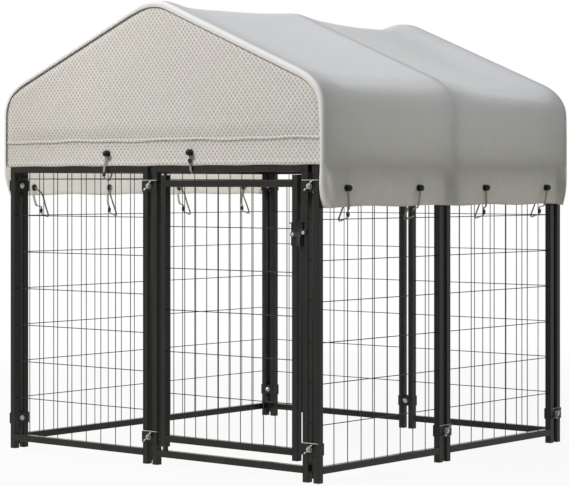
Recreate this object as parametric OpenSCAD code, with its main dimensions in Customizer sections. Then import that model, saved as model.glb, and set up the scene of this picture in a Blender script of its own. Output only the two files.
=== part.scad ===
// Outdoor dog kennel run: eight welded-wire panels clamped post to post round a square, a gate in
// the right half of the front, and a gabled cloth cover on three bent hoops, tied to the mesh.
// The origin is on the ground, under the middle of the run. The gate is at the front, at -Y.

/* [Kennel] */
// Distance between the centres of opposite corner posts
run = 1200; // [1000:10:1600]
// Height of the wall panels above the ground
panel_h = 868; // [760:2:1100]
// Height of the bottom rails above the ground
foot_h = 24; // [16:1:60]

/* [Tube] */
// Outside width of the square tube
tube = 20; // [18:0.5:28]
// Wall of the square tube
tube_wall = 1.2; // [0.8:0.1:1.8]
// Outside corner radius of the square tube
tube_r = 2; // [1.9:0.1:3]
// Distance between the centres of two clamped posts
post_pitch = 38; // [36:0.5:56]
// Root gap left for the weld at a tube's or a wire's end
weld_gap = 0.2; // [0.1:0.05:0.4]

/* [Wire mesh] */
// Diameter of the mesh wires
wire_d = 2.6; // [2:0.1:4]
// Share of a wire's diameter that the weld sinks into the crossing wire
weld_sink = 0.15; // [0.1:0.01:0.25]
// Distance between the upright wires of a wall panel
wire_pitch = 61; // [35:0.5:80]
// Distance between the level wires of a wall panel
row_pitch = 112.2; // [90:0.2:125]
// Distance between the upright wires of the gate
gate_wire_pitch = 42.3; // [30:0.1:60]
// Distance between the level wires of the gate
gate_row_pitch = 120.4; // [80:0.2:140]

/* [Gate] */
// Gap between the hinge post and the gate
hinge_gap = 13.5; // [8:0.5:25]
// Gap between the gate and the latch post
latch_gap = 17.5; // [12:0.5:25]
// Gap between the bottom rail and the gate's posts
sill_gap = 13; // [8:0.5:25]
// Gap between the gate's posts and the top rail
head_gap = 10; // [6:0.5:20]
// Length of the gate's posts beyond its rails
gate_horn = 12.5; // [5:0.5:30]
// Diameter of the hinge pins
pin_d = 10; // [8:0.5:12]
// Radial clearance of a hinge pin in its bush
pin_fit = 0.05; // [0.02:0.01:0.09]
// Depth of a hinge pin in the gate's post
pin_reach = 30; // [15:1:60]
// Diameter of the collar that carries the gate
collar_d = 16; // [14:0.5:18]

/* [Latch] */
// Height of the upper clamps above the latch's pivot
latch_drop = 132.6; // [90:0.2:400]
// Thickness of the latch's backing plate
latch_plate_t = 3; // [2:0.5:4]
// Height of the backing plate above and below the pivot
latch_plate_up = 30; // [30:0.5:45]
latch_plate_down = 31; // [20:0.5:45]
// Depth of the lip that stops the lever
latch_lip = 8; // [6:0.5:14]
// Thickness of the drop lever
lever_t = 4; // [3:0.5:6]
// Half height of the lever's bar
lever_half = 7; // [6:0.5:8]
// Length of the lever's finger tab below the pivot
lever_tab = 32; // [24:1:45]
// Diameter of the pivot bolt
pivot_d = 6; // [5:0.5:7]
// Diameter of the keeper stud
stud_d = 5; // [4:0.5:6]
// Height of the keeper stud above the pivot
stud_up = 5; // [3:0.5:6]
// Diameter of the heads of the pivot bolt and the keeper stud
latch_head_d = 10; // [9:0.5:12]

/* [Panel clamps] */
// Height of a clamp plate
clamp_h = 33; // [24:1:40]
// Thickness of a clamp plate
clamp_t = 2.5; // [1.5:0.25:3]
// Width of a clamp plate beyond each post
clamp_over = 0.5; // [0:0.25:2]
// Depth of the channel pressed between the posts
clamp_dip = 3; // [1:0.5:4]
// Height of the lower clamps above the bottom rail
clamp_rise = 48; // [30:1:60]
// How much lower the clamp in the middle of the front sits
clamp_slip = 12; // [0:1:12]
// Gap between the upper clamps and the top level wire
clamp_clear = 3; // [1:0.5:10]
// Diameter of a clamp bolt
bolt_d = 8; // [6:0.5:10]
// Diameter of a clamp bolt's round head
bolt_head_d = 17; // [13:0.5:20]
// Tip to tip length of a wing nut
wing_span = 40; // [30:1:46]

/* [Roof hoops] */
// Clearance of a hoop's leg in its post
hoop_fit = 0.4; // [0.2:0.05:0.6]
// Wall of the hoop's tube
hoop_wall = 1.2; // [0.8:0.1:2]
// Depth of a hoop's leg in its post
hoop_insert = 70; // [30:1:150]
// Height at which the straight slopes would meet the legs, above the panels
eave_rise = 228; // [180:1:300]
// Height at which the straight slopes would meet each other, above the panels
ridge_rise = 480; // [400:1:600]
// Bend radius at the eaves, on the tube's centre line
eave_bend = 104; // [60:1:130]
// Bend radius at the ridge, on the tube's centre line
ridge_bend = 140; // [80:1:220]
// Clearance of the ridge spigots in the hoops
spigot_fit = 0.2; // [0.1:0.05:0.4]

/* [Cover] */
// Thickness of the cloth as modelled
cloth_t = 2; // [1.5:0.1:3]
// Gap between the cloth and what carries it
cloth_gap = 0.3; // [0.2:0.05:0.5]
// Length of the side skirts below the top of the panels
skirt_drop = 116; // [80:1:118]
// How far the side skirts hang out from the hoops' legs
skirt_flare = 20; // [18:1:40]
// Sag of the roof between the front and the middle hoop
front_sag = 12; // [0:1:30]
// Sag of the roof between the middle and the rear hoop
rear_sag = 24; // [0:1:40]
// Length over which the cloth rises to the front and the rear hoop
end_crest = 64; // [40:1:90]
// Length over which the cloth rises to the middle hoop
middle_crest = 155; // [60:1:160]
// Overhang of the roof sheet past the gable ends
eave_over = 8; // [7:0.5:25]
// Depth of the roof sheet's turned-down edges in front of the gable ends
lip_drop = 20; // [14:0.5:30]
// Diameter of the piping along the gable seams
piping_d = 4; // [3:0.5:4]
// Height of the gable ends' hem below the top of the panels
gable_drop = 1; // [0:0.5:6]
// Height of the stitched fold above the gable ends' hem
fold_up = 72; // [50:1:90]

/* [Ties] */
// Diameter of the tie cord
cord_d = 3; // [2.4:0.1:3.2]
// Outside diameter of a grommet
grommet_d = 20; // [16:0.5:26]
// Bore of a grommet
grommet_bore = 8; // [7.6:0.2:10]
// Height of the grommets above the hem of the side skirts
side_grommet_up = 51; // [30:1:60]
// Height of the grommets above the hem of the gable ends
gable_grommet_up = 37; // [25:1:50]
// Distance between the grommets along a side skirt
side_tie_pitch = 335; // [300:1:340]
// How far the row of side grommets sits off the middle
side_tie_shift = -12; // [-20:1:20]
// Distance between the two grommets of a gable end
gable_tie_pitch = 331; // [300:1:360]
// How far the pair of gable grommets sits off the middle
gable_tie_shift = -21; // [-30:1:30]

/* [Hidden] */

// Colours as the photograph shows them
black_coat = [0.06, 0.06, 0.065];
wire_coat = [0.09, 0.09, 0.095];
black_plastic = [0.03, 0.03, 0.03];
zinc = [0.75, 0.76, 0.77];
steel = [0.45, 0.46, 0.47];
silver_cloth = [0.72, 0.73, 0.74];
woven_cloth = [0.78, 0.76, 0.72];
grey_cord = [0.42, 0.42, 0.41];

round_fn = 48;
half = run / 2;
tube_bore = tube - 2 * tube_wall;
bore_ease = 0.2;
bore_r = tube_r - tube_wall + bore_ease;
panel_w = half - post_pitch;
bay = panel_w - tube;
left_start = -half;
right_start = left_start + panel_w + post_pitch;
rail_top = foot_h + tube;
head_rail = panel_h - tube;

// Plastic caps: flange thickness, plug length, wall and clearance in the tube
cap_t = 2;
cap_plug = 15;
cap_wall = 2;
cap_fit = 0.2;

// Level wires stand on the bottom rail's top edge in steps of the pitch
wire_lay = wire_d * (1 - weld_sink);
wire_sides = 8;
level_rows = floor((head_rail - rail_top - wire_d) / row_pitch);
top_row_z = rail_top + level_rows * row_pitch;

// Gate: post centres, ends and rails
hinge_x = right_start + tube / 2 + hinge_gap + tube / 2;
latch_x = right_start + panel_w - tube / 2 - latch_gap - tube / 2;
gate_w = latch_x - hinge_x;
gate_z0 = rail_top + sill_gap;
gate_z1 = head_rail - head_gap;
gate_rail0 = gate_z0 + gate_horn;
gate_rail1 = gate_z1 - gate_horn - tube;
bush_plug = pin_reach + 5;
collar_gap = 0.3;

// Latch: the keeper stud stands on the jamb's centre line
jamb_x = right_start + panel_w;
stud_dx = jamb_x - latch_x;
latch_gap_y = 0.3;
latch_fit = 0.1;
latch_head_t = 3;
lever_y = tube / 2 + 2 * latch_gap_y + latch_plate_t;
lever_eye = lever_half + 2;
lever_nose = 9;
lever_cap = 9;
notch_d = stud_d + 1.4;
notch_mouth = notch_d + 3;
tab_w = 12;
tab_dx = stud_dx - latch_gap + 6;
plate_side = tube / 2 - 0.5;
plate_reach = stud_dx - latch_head_d / 2 - 1;
lip_t = 3;
lever_lift = 22;

// Clamps: two junctions on each side, the same all round the run
clamp_mid_x = right_start - post_pitch / 2;
clamp_end_x = half - post_pitch / 2;
clamp_w = post_pitch + tube + 2 * clamp_over;
clamp_low_z = rail_top + clamp_rise;
clamp_high_z = top_row_z - wire_d / 2 - clamp_clear - clamp_h / 2;
latch_h = clamp_high_z - latch_drop;
clamp_gap = 0.1;
dip_half = (post_pitch - tube) / 2 - 5;
dip_run = 3;
bolt_fit = 0.3;
bolt_head_h = 5;
// The nut's flange and the bolt's head bear on the plates' lands, beside the channel
clamp_seat = tube / 2 + 2 * clamp_gap + clamp_t;
nut_d = 14;
nut_flange_d = 18;
nut_flange_t = 2;
nut_h = 8;
wing_t = 3;
wing_rise = 12;
wing_tip_r = 5;
wing_lift = 1;
bolt_tip = 3;
wing_turn = 45;

// Hoops: the slope's angle and the centres of the bends, on the centre line
hoop_r = tube_bore / 2 - hoop_fit;
slope = atan((ridge_rise - eave_rise) / half);
ridge_z = panel_h + ridge_rise;
ridge_centre = ridge_z - ridge_bend / cos(slope);
bend_z = panel_h + eave_rise - eave_bend * tan((90 - slope) / 2);
slope_top = [ridge_bend * sin(slope), ridge_centre + ridge_bend * cos(slope)];
slope_foot = [half - eave_bend * (1 - sin(slope)), bend_z + eave_bend * cos(slope)];
slope_len = norm(slope_top - slope_foot);
spigot_r = hoop_r - hoop_wall - spigot_fit;
spigot_turn = slope - 1;
butt_turn = 0.1;

// Cover: offsets of the cloth from the hoops' centre line, and the planes of the gable ends
cloth_in = hoop_r + cloth_gap;
cloth_out = cloth_in + cloth_t;
hem_z = panel_h - skirt_drop;
gable_z = panel_h - gable_drop;
gable_gap = 0.5;
gable_y = half + tube / 2 + gable_gap;
gable_edge = cloth_in - cloth_gap;
roof_y = gable_y + cloth_t + eave_over;
lip_seam = 0.2;
lip_y = roof_y - lip_seam;
piping_y = gable_y + cloth_t + piping_d / 2 + lip_seam;
piping_edge = cloth_out - lip_drop - piping_d / 2 - cloth_gap;
piping_sides = 8;
fold_h = 4;
fold_t = 1.2;
fold_inset = 1;

// The half section of the cover from the ridge to the hem, as rows of centre line, normal and sag share.
// The cloth swings out from the hoops over the eaves and hangs straight down from there.
ridge_steps = 4;
slope_steps = 3;
eave_steps = 6;
skirt_steps = 2;
slope_belly = 0.5;
eave_share = 0.8;
function swing(t) = skirt_flare * (1 - cos(180 * t)) / 2;
function arc_row(cx, cz, r, a, share) = [cx + r * cos(a), cz + r * sin(a), cos(a), sin(a), share];
function skirt_row(z) =
  [half + skirt_flare, z, 1, 0, eave_share * max(0, (z - panel_h) / (bend_z - panel_h))];
section = concat(
  [for (i = [0:ridge_steps]) arc_row(0, ridge_centre, ridge_bend, 90 - slope * i / ridge_steps, 1)],
  [for (i = [1:slope_steps - 1])
    let (p = slope_top + (slope_foot - slope_top) * i / slope_steps)
    [p.x, p.y, sin(slope), cos(slope), 1 + slope_belly * sin(180 * i / slope_steps)]],
  [for (i = [0:eave_steps])
    let (t = i / eave_steps)
    arc_row(half - eave_bend, bend_z, eave_bend + swing(t), (90 - slope) * (1 - t),
      1 - (1 - eave_share) * t)],
  [for (i = [1:skirt_steps]) skirt_row(bend_z + (panel_h - bend_z) * i / skirt_steps)],
  [for (i = [1:skirt_steps]) skirt_row(panel_h + (hem_z - panel_h) * i / skirt_steps)]
);
last_row = len(section) - 1;
function on_section(row, off, side) = [side * (row[0] + row[2] * off), row[1] + row[3] * off];
// From the left hem over the ridge to the right hem
function full_section(off, sag) = concat(
  [for (i = [last_row:-1:1]) on_section(section[i], off - sag * section[i][4], -1)],
  [for (i = [0:last_row]) on_section(section[i], off - sag * section[i][4], 1)]
);
// The upper part of the section, cut level at the gable ends' hem
function gable_outline(off) =
  let (foot = [half + skirt_flare + off, gable_z],
    rows = [for (r = section) if (r[1] > gable_z + cloth_t) r])
  concat(
    [[-foot.x, foot.y]],
    [for (i = [len(rows) - 1:-1:1]) on_section(rows[i], off, -1)],
    [for (r = rows) on_section(r, off, 1)],
    [foot]
  );

// Stations of the roof sheet from front to rear, each with its sag. The cloth lies flat on each hoop and
// falls away from it over the hoop's crest.
crest_flat = hoop_r + cloth_t;
crest_steps = [0, 0.35, 0.75, 1.2, 1.8];
function fall(d, crest) = 1 - exp(-pow(max(0, d - crest_flat) / crest, 2));
function bay_sag(sag, d) = sag * fall(d, middle_crest) * fall(half - d, end_crest);
bay_places = concat(
  [for (k = crest_steps) crest_flat + k * middle_crest],
  [for (i = [len(crest_steps) - 1:-1:0]) half - crest_flat - crest_steps[i] * end_crest]
);
last_place = len(bay_places) - 1;
stations = concat(
  [[-roof_y, 0]],
  [for (i = [last_place:-1:0]) [-bay_places[i], bay_sag(front_sag, bay_places[i])]],
  [for (d = bay_places) [d, bay_sag(rear_sag, d)]],
  [[roof_y, 0]]
);

// Ties: grommets in the skirts and the gable ends
side_grommet_z = hem_z + side_grommet_up;
hem_n = half + cloth_out + skirt_flare;
side_grommet_n = hem_n;
gable_grommet_z = gable_z + gable_grommet_up;
gable_grommet_n = gable_y + cloth_t;
grommet_fit = 0.1;
grommet_wall = 1;
flange_t = 1.5;
grommet_hole = grommet_bore / 2 + grommet_wall + grommet_fit;
side_ties = [for (i = [-1.5:1:1.5]) i * side_tie_pitch + side_tie_shift];
gable_ties = [for (i = [-0.5, 0.5]) i * gable_tie_pitch + gable_tie_shift];
// A tie is wound round a wire at the middle of the nearest mesh gap
function mesh_gap(t) =
  let (start = (t < right_start - post_pitch / 2 ? left_start : right_start) + panel_w / 2)
  start + round((t - start) / wire_pitch) * wire_pitch;
strand_gap = 0.15;
strand = cord_d / 2 + strand_gap;
knot_r = 5;
knot_in = cloth_t + flange_t + grommet_fit + knot_r + cloth_gap;
knot_drop = 3;
cord_sides = 6;
knot_sides = 10;
side_row_z = top_row_z - row_pitch;
wire_n = half - wire_lay / 2;
// Slack of a tie's turn round a wire or a rail, and how far the turn's corners are cut
wire_slack = 2.5;
rail_slack = 3;
turn_cut = 0.7;
wire_turn = wire_d / 2 + cord_d / 2 + wire_slack;
rail_turn = tube / 2 + cord_d / 2 + rail_slack;
rail_back = half - rail_turn;
sleeve_wall = 2;
sleeve_d = 2 * (cord_d + sleeve_wall);
sleeve_h = 12;
sleeve_drop = 8;
sleeve_lead = 7;
sleeve_fit = 0.1;
// Where a tie enters the grommet, leaves it, and bends down, and how far its strands spread there
eye_in = 2;
eye_out = 3.5;
bend_out = 5.5;
bend_drop = 6;
strand_spread = 1.5;
// Distance at which a tie passes the hem of a skirt or the cloth of a gable end
hem_out = 3.5;
hem_under = 4;
gable_pass = cord_d + 2;

// Shapes that several pieces share

// A square of true flats with a true arc at each corner
module rounded_square(w, r) {
  square([w, w - 2 * r], center = true);
  square([w - 2 * r, w], center = true);
  for (x = [-1, 1], y = [-1, 1])
    translate([x * (w / 2 - r), y * (w / 2 - r)])
      circle(r, $fn = round_fn);
}

module square_tube(length) {
  linear_extrude(length)
    difference() {
      rounded_square(tube, tube_r);
      rounded_square(tube_bore, bore_r);
    }
}

module level_tube(x0, x1, z) {
  translate([x0 + weld_gap, 0, z + tube / 2])
    rotate([0, 90, 0])
      square_tube(x1 - x0 - 2 * weld_gap);
}

// Side 0 is the front, and each next side is a quarter turn further
module on_side(side) {
  rotate([0, 0, 90 * side])
    translate([0, -half, 0])
      children();
}

module wire(length) {
  rotate([0, 0, 180 / wire_sides])
    cylinder(h = length, d = wire_d, $fn = wire_sides);
}

// Welded mesh between x0 and x1, z0 and z1, with the upright wires on the outside
module wire_sheet(x0, x1, z0, z1, col_pitch, pitch) {
  cols = floor((x1 - x0 - wire_d) / col_pitch);
  rows = floor((z1 - z0 - wire_d) / pitch);
  for (i = [0:cols - 1])
    translate([(x0 + x1) / 2 + (i - (cols - 1) / 2) * col_pitch, -wire_lay / 2, z0 + weld_gap])
      wire(z1 - z0 - 2 * weld_gap);
  for (j = [1:rows])
    translate([x0 + weld_gap, wire_lay / 2, z0 + j * pitch])
      rotate([0, 90, 0])
        wire(x1 - x0 - 2 * weld_gap);
}

module wall_frame(start) {
  for (x = [start, start + panel_w])
    translate([x, 0, cap_t])
      square_tube(panel_h - cap_t);
  for (z = [foot_h, head_rail])
    level_tube(start + tube / 2, start + panel_w - tube / 2, z);
}

module wall_mesh(start) {
  wire_sheet(start + tube / 2, start + panel_w - tube / 2, rail_top, head_rail, wire_pitch, row_pitch);
}

// A plastic end cap: flange below the origin, hollow plug above it
module end_cap() {
  plug = tube_bore - 2 * cap_fit;
  translate([0, 0, -cap_t])
    linear_extrude(cap_t)
      rounded_square(tube, tube_r);
  linear_extrude(cap_plug)
    difference() {
      rounded_square(plug, tube_r);
      square(plug - 2 * cap_wall, center = true);
    }
}

module ring(r, wall) {
  difference() {
    circle(r, $fn = round_fn);
    circle(r - wall, $fn = round_fn);
  }
}

// Half a hoop, on the right: leg, eave bend, rafter and half of the ridge bend, welded end to end
module half_hoop() {
  translate([half, 0, panel_h - hoop_insert])
    linear_extrude(bend_z - panel_h + hoop_insert - weld_gap)
      ring(hoop_r, hoop_wall);
  translate([half - eave_bend, 0, bend_z])
    rotate([90, 0, 0])
      rotate_extrude(angle = 90 - slope, $fn = 2 * round_fn)
        translate([eave_bend, 0])
          ring(hoop_r, hoop_wall);
  translate([slope_foot.x, 0, slope_foot.y])
    rotate([0, slope - 90, 0])
      translate([0, 0, weld_gap])
        linear_extrude(slope_len - 2 * weld_gap)
          ring(hoop_r, hoop_wall);
  translate([0, 0, ridge_centre])
    rotate([90, 0, 0])
      rotate([0, 0, 90 - slope])
        rotate_extrude(angle = slope - butt_turn, $fn = 2 * round_fn)
          translate([ridge_bend, 0])
            ring(hoop_r, hoop_wall);
}

module hoop(y) {
  color(black_coat)
    translate([0, y, 0])
      for (side = [0, 1])
        mirror([side, 0, 0])
          half_hoop();
}

// A closed tube of flat faces swept along points, with a ring square to the way at each point
function unit(v) = v / norm(v);
function way_at(p, i) = unit(p[min(i + 1, len(p) - 1)] - p[max(i - 1, 0)]);
function square_to(u, w) = unit(u - (u * w) * w);
module swept_tube(points, r, sides, first) {
  n = len(points);
  ways = [for (i = [0:n - 1]) way_at(points, i)];
  across = [for (i = 0, u = square_to(first, ways[0]); i < n;
    i = i + 1, u = i < n ? square_to(u, ways[i]) : u) u];
  rings = [for (i = [0:n - 1], k = [0:sides - 1])
    points[i] + r * (cos(360 * k / sides) * across[i] + sin(360 * k / sides) * cross(ways[i], across[i]))];
  walls = [for (i = [0:n - 2], k = [0:sides - 1])
    let (a = i * sides + k, b = i * sides + (k + 1) % sides)
    each [[a, a + sides, b], [b, a + sides, b + sides]]];
  ends = [for (k = [1:sides - 2])
    each [[0, k, k + 1], [(n - 1) * sides, (n - 1) * sides + k + 1, (n - 1) * sides + k]]];
  polyhedron(points = rings, faces = concat(walls, ends));
}

// Wall panels

module panel(side, start) {
  color(black_coat)
    on_side(side)
      wall_frame(start);
}

module mesh(side, start) {
  color(wire_coat)
    on_side(side)
      wall_mesh(start);
}

// The gate panel has no mesh: its rails are drilled for the hinge pins and its jamb for the keeper
module panel_front_gate() {
  color(black_coat)
    on_side(0)
      difference() {
        wall_frame(right_start);
        for (z = [rail_top - tube / 2, head_rail - tube / 2])
          translate([hinge_x, 0, z])
            cylinder(h = tube, r = pin_d / 2 + pin_fit, $fn = round_fn);
        translate([jamb_x, 0, latch_h + stud_up])
          rotate([90, 0, 0])
            cylinder(h = tube, r = stud_d / 2 + latch_fit, $fn = round_fn);
      }
}

module foot_caps() {
  color(black_plastic)
    for (side = [0:3], start = [left_start, right_start], x = [0, panel_w])
      on_side(side)
        translate([start + x, 0, cap_t])
          end_cap();
}

// The corner posts and the post at each side's middle that hold a hoop stay open
module post_caps() {
  color(black_plastic)
    for (side = [0:3], x = [left_start, left_start + panel_w, right_start, jamb_x])
      if (!(x == left_start || (x == right_start && side % 2 == 1)))
        on_side(side)
          translate([x, 0, panel_h])
            mirror([0, 0, 1])
              end_cap();
}

// Panel clamps: children are drawn at each junction, with -Y outwards
module at_clamps() {
  for (side = [0:3], x = [clamp_mid_x, clamp_end_x], z = [clamp_low_z, clamp_high_z]) {
    slip = side == 0 && x == clamp_mid_x && z == clamp_low_z ? clamp_slip : 0;
    on_side(side)
      translate([x, 0, z - slip])
        children();
  }
}

// A saddle plate that lies on both posts and dips into the gap between them
module saddle_plate() {
  face = -tube / 2 - clamp_gap;
  dip = face + clamp_dip;
  ramp = dip_half + dip_run;
  right = [[0, dip], [dip_half, dip], [ramp, face], [clamp_w / 2, face],
    [clamp_w / 2, face - clamp_t], [ramp, face - clamp_t], [dip_half, dip - clamp_t], [0, dip - clamp_t]];
  difference() {
    translate([0, 0, -clamp_h / 2])
      linear_extrude(clamp_h)
        union() {
          polygon(right);
          mirror([1, 0])
            polygon(right);
        }
    rotate([90, 0, 0])
      cylinder(h = tube, r = bolt_d / 2 + bolt_fit, $fn = round_fn);
  }
}

module clamp_plates_outer() {
  color(black_coat)
    at_clamps()
      saddle_plate();
}

module clamp_plates_inner() {
  color(black_coat)
    at_clamps()
      mirror([0, 1, 0])
        saddle_plate();
}

// A round-headed bolt with its head on the inside
module clamp_bolts() {
  dome = (bolt_head_h * bolt_head_h + bolt_head_d * bolt_head_d / 4) / (2 * bolt_head_h);
  color(zinc)
    at_clamps()
      rotate([-90, 0, 0]) {
        translate([0, 0, -clamp_seat - nut_h - bolt_tip])
          cylinder(h = 2 * clamp_seat + nut_h + bolt_tip, d = bolt_d, $fn = round_fn);
        translate([0, 0, clamp_seat])
          rotate_extrude($fn = round_fn)
            intersection() {
              translate([0, bolt_head_h - dome])
                circle(dome, $fn = 2 * round_fn);
              square([bolt_head_d / 2, bolt_head_h]);
            }
      }
}

// Hub with two ears that lean away from the plate
module wing_nut() {
  reach = wing_span / 2 - wing_tip_r;
  root = bolt_d / 2 + wing_lift;
  difference() {
    union() {
      cylinder(h = nut_h, d = nut_d, $fn = round_fn);
      cylinder(h = nut_flange_t, d = nut_flange_d, $fn = round_fn);
      for (side = [0, 1])
        mirror([side, 0, 0])
          translate([0, wing_t / 2, 0])
            rotate([90, 0, 0])
              linear_extrude(wing_t)
                union() {
                  polygon([[root, wing_lift], [nut_d / 2 + 2 * wing_lift, wing_lift],
                    [wing_span / 2, wing_rise - wing_tip_r], [reach - wing_tip_r, wing_rise - wing_tip_r],
                    [root, nut_h - wing_lift]]);
                  translate([reach, wing_rise - wing_tip_r])
                    circle(wing_tip_r, $fn = round_fn);
                }
    }
    translate([0, 0, -1])
      cylinder(h = nut_h + wing_rise, d = bolt_d + 2 * clamp_gap, $fn = round_fn);
  }
}

module wing_nuts() {
  color(zinc)
    at_clamps()
      translate([0, -clamp_seat, 0])
        rotate([90, 0, 0])
          rotate([0, 0, wing_turn])
            wing_nut();
}

// Roof hoops

// A bent spigot inside each hoop joins its halves at the ridge
module ridge_spigots() {
  color(steel)
    for (y = [-half, 0, half])
      translate([0, y, ridge_centre])
        rotate([90, 0, 0])
          rotate([0, 0, 90 - spigot_turn])
            rotate_extrude(angle = 2 * spigot_turn, $fn = 2 * round_fn)
              translate([ridge_bend, 0])
                ring(spigot_r, hoop_wall);
}

// Cover

// A sheet of cloth lofted through the stations, outer face first
module roof_sheet() {
  rows = len(stations);
  cols = 2 * last_row + 1;
  grid = [for (off = [cloth_out, cloth_in], s = stations, p = full_section(off, s[1])) [p.x, s[0], p.y]];
  inner = rows * cols;
  skins = [for (i = [0:rows - 2], j = [0:cols - 2])
    let (a = i * cols + j, b = a + cols)
    each [
      [a, b, a + 1], [a + 1, b, b + 1],
      [inner + a, inner + a + 1, inner + b], [inner + a + 1, inner + b + 1, inner + b]
    ]];
  edges = concat(
    [for (j = [0:cols - 2]) each [[j, j + 1, inner + j], [j + 1, inner + j + 1, inner + j]]],
    [for (j = [0:cols - 2])
      let (a = (rows - 1) * cols + j)
      each [[a, inner + a, a + 1], [a + 1, inner + a, inner + a + 1]]],
    [for (i = [0:rows - 2])
      let (a = i * cols, b = a + cols, c = a + cols - 1, d = c + cols)
      each [
        [a, inner + a, b], [b, inner + a, inner + b],
        [c, d, inner + c], [d, inner + d, inner + c]
      ]]
  );
  polyhedron(points = grid, faces = concat(skins, edges));
}

// Places for ties: children are drawn with +Z along the grommet's axis, outwards, and +Y up the cloth
module at_side_grommets() {
  for (side = [1, 3], t = side_ties)
    on_side(side)
      translate([t, half - side_grommet_n, side_grommet_z])
        rotate([90, 0, 0])
          children();
}

module at_gable_grommets() {
  for (side = [0, 2], t = gable_ties)
    on_side(side)
      translate([t, half - gable_grommet_n, gable_grommet_z])
        rotate([90, 0, 0])
          children();
}

module grommet_cut() {
  translate([0, 0, -3 * cloth_t])
    cylinder(h = 6 * cloth_t, r = grommet_hole, $fn = round_fn);
}

// The turned-down edge at one end of the roof sheet, from hem to hem
module roof_lip() {
  outer = full_section(cloth_in + cloth_t / 2, 0);
  inner = full_section(cloth_out - lip_drop, 0);
  last = len(outer) - 1;
  translate([0, half - lip_y + cloth_t, 0])
    rotate([90, 0, 0])
      linear_extrude(cloth_t)
        polygon(concat(outer, [for (i = [last:-1:0]) inner[i]]));
}

module cover_roof() {
  color(silver_cloth)
    difference() {
      union() {
        roof_sheet();
        for (side = [0, 2])
          on_side(side)
            roof_lip();
      }
      at_side_grommets()
        grommet_cut();
    }
}

// A gable end with its stitched fold, drawn at the front
module gable_end() {
  fold_z = gable_z + fold_up;
  fold_half = half + skirt_flare + piping_edge - piping_d / 2 - fold_inset;
  difference() {
    union() {
      translate([0, half - gable_y, 0])
        rotate([90, 0, 0])
          linear_extrude(cloth_t)
            polygon(gable_outline(gable_edge));
      translate([-fold_half, half - gable_y - cloth_t - fold_t, fold_z])
        cube([2 * fold_half, fold_t + cloth_t / 2, fold_h]);
    }
    for (t = gable_ties)
      translate([t, half - gable_grommet_n, gable_grommet_z])
        rotate([90, 0, 0])
          grommet_cut();
  }
}

module gable_front() {
  color(woven_cloth)
    on_side(0)
      gable_end();
}

module gable_rear() {
  color(woven_cloth)
    on_side(2)
      gable_end();
}

module gable_piping() {
  line = gable_outline(piping_edge);
  color(silver_cloth)
    for (side = [0, 2])
      on_side(side)
        swept_tube([for (p = line) [p.x, half - piping_y, p.y]], piping_d / 2, piping_sides, [0, 1, 0]);
}

// Ties

// A flanged eyelet that grips the cloth between its two rims
module grommet() {
  bore = grommet_bore / 2;
  barrel = bore + grommet_wall;
  back = -cloth_t - grommet_fit;
  rim = grommet_d / 2;
  rotate_extrude($fn = round_fn)
    polygon([[bore, back - flange_t], [rim, back - flange_t], [rim, back], [barrel, back],
      [barrel, grommet_fit], [rim, grommet_fit], [rim - 1, grommet_fit + flange_t], [bore, grommet_fit + flange_t]]);
}

module grommets() {
  color(black_plastic) {
    at_side_grommets()
      grommet();
    at_gable_grommets()
      grommet();
  }
}

// A tie's way, as distances out from the middle of the run, along the side and up. It leaves the knot
// behind the cloth, comes out of the grommet, passes the hem and the sleeve, goes round a wire or a
// rail and returns behind the cloth.
function tie_way(g_n, g_z, front, sleeve_n, w_n, w_z, turn, back, t, t_w, s) =
  let (a = s * strand, wide = strand_spread * a, sleeve_z = w_z + turn + sleeve_drop,
    cut = turn_cut * turn)
  [for (p = concat(
    [[g_n - knot_in, t + a, g_z], [g_n - eye_in, t + a, g_z], [g_n + eye_out, t + a, g_z],
      [g_n + bend_out, t + wide, g_z - bend_drop],
      [front[0], (t + t_w) / 2 + wide, front[1]],
      [sleeve_n, t_w + a, sleeve_z + sleeve_h], [sleeve_n, t_w + a, sleeve_z - sleeve_lead],
      [w_n + turn, t_w + a, w_z + cut], [w_n + turn, t_w + a, w_z - cut],
      [w_n + cut, t_w + a, w_z - turn], [w_n - cut, t_w + a, w_z - turn],
      [w_n - turn, t_w + a, w_z - cut], [w_n - turn, t_w + a, w_z + cut]],
    [for (b = back) [b[0], t_w + a, b[1]]],
    [[g_n - knot_in, t + a, g_z - knot_drop]])) [p[1], half - p[0], p[2]]];

module tie(g_n, g_z, front, sleeve_n, w_n, w_z, turn, back, t, t_w) {
  for (s = [-1, 1])
    swept_tube(tie_way(g_n, g_z, front, sleeve_n, w_n, w_z, turn, back, t, t_w, s),
      cord_d / 2, cord_sides, [1, 0, 0]);
  translate([t, half - g_n + knot_in, g_z])
    sphere(knot_r, $fn = knot_sides);
}

// Side ties go round a level wire, and gable ties round the top wire or the gate panel's top rail
sleeve_off = 6;
gable_rise = 15;
rail_dip = 9;
back_off = 7;
back_rise = 30;
back_dip = 20;
rail_pass = 4;
side_front = [hem_n + hem_out, hem_z - hem_under];
side_sleeve_n = half + tube / 2 + sleeve_d + sleeve_off;
side_back = [[half + back_off, side_row_z + back_rise], [side_grommet_n - knot_in, side_grommet_z - back_dip]];
gable_front = [gable_grommet_n + gable_pass, gable_z + gable_rise];
rail_front = [gable_grommet_n + gable_pass, gable_grommet_z - rail_dip];
gable_sleeve_n = gable_grommet_n + sleeve_d / 2 + sleeve_wall / 2;
gable_back = [[rail_back, head_rail - rail_pass], [rail_back, panel_h + rail_pass]];
rail_loop_back = [[rail_back, panel_h + rail_pass]];

function beside_gate(side, t) = side == 0 && t > right_start;

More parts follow.
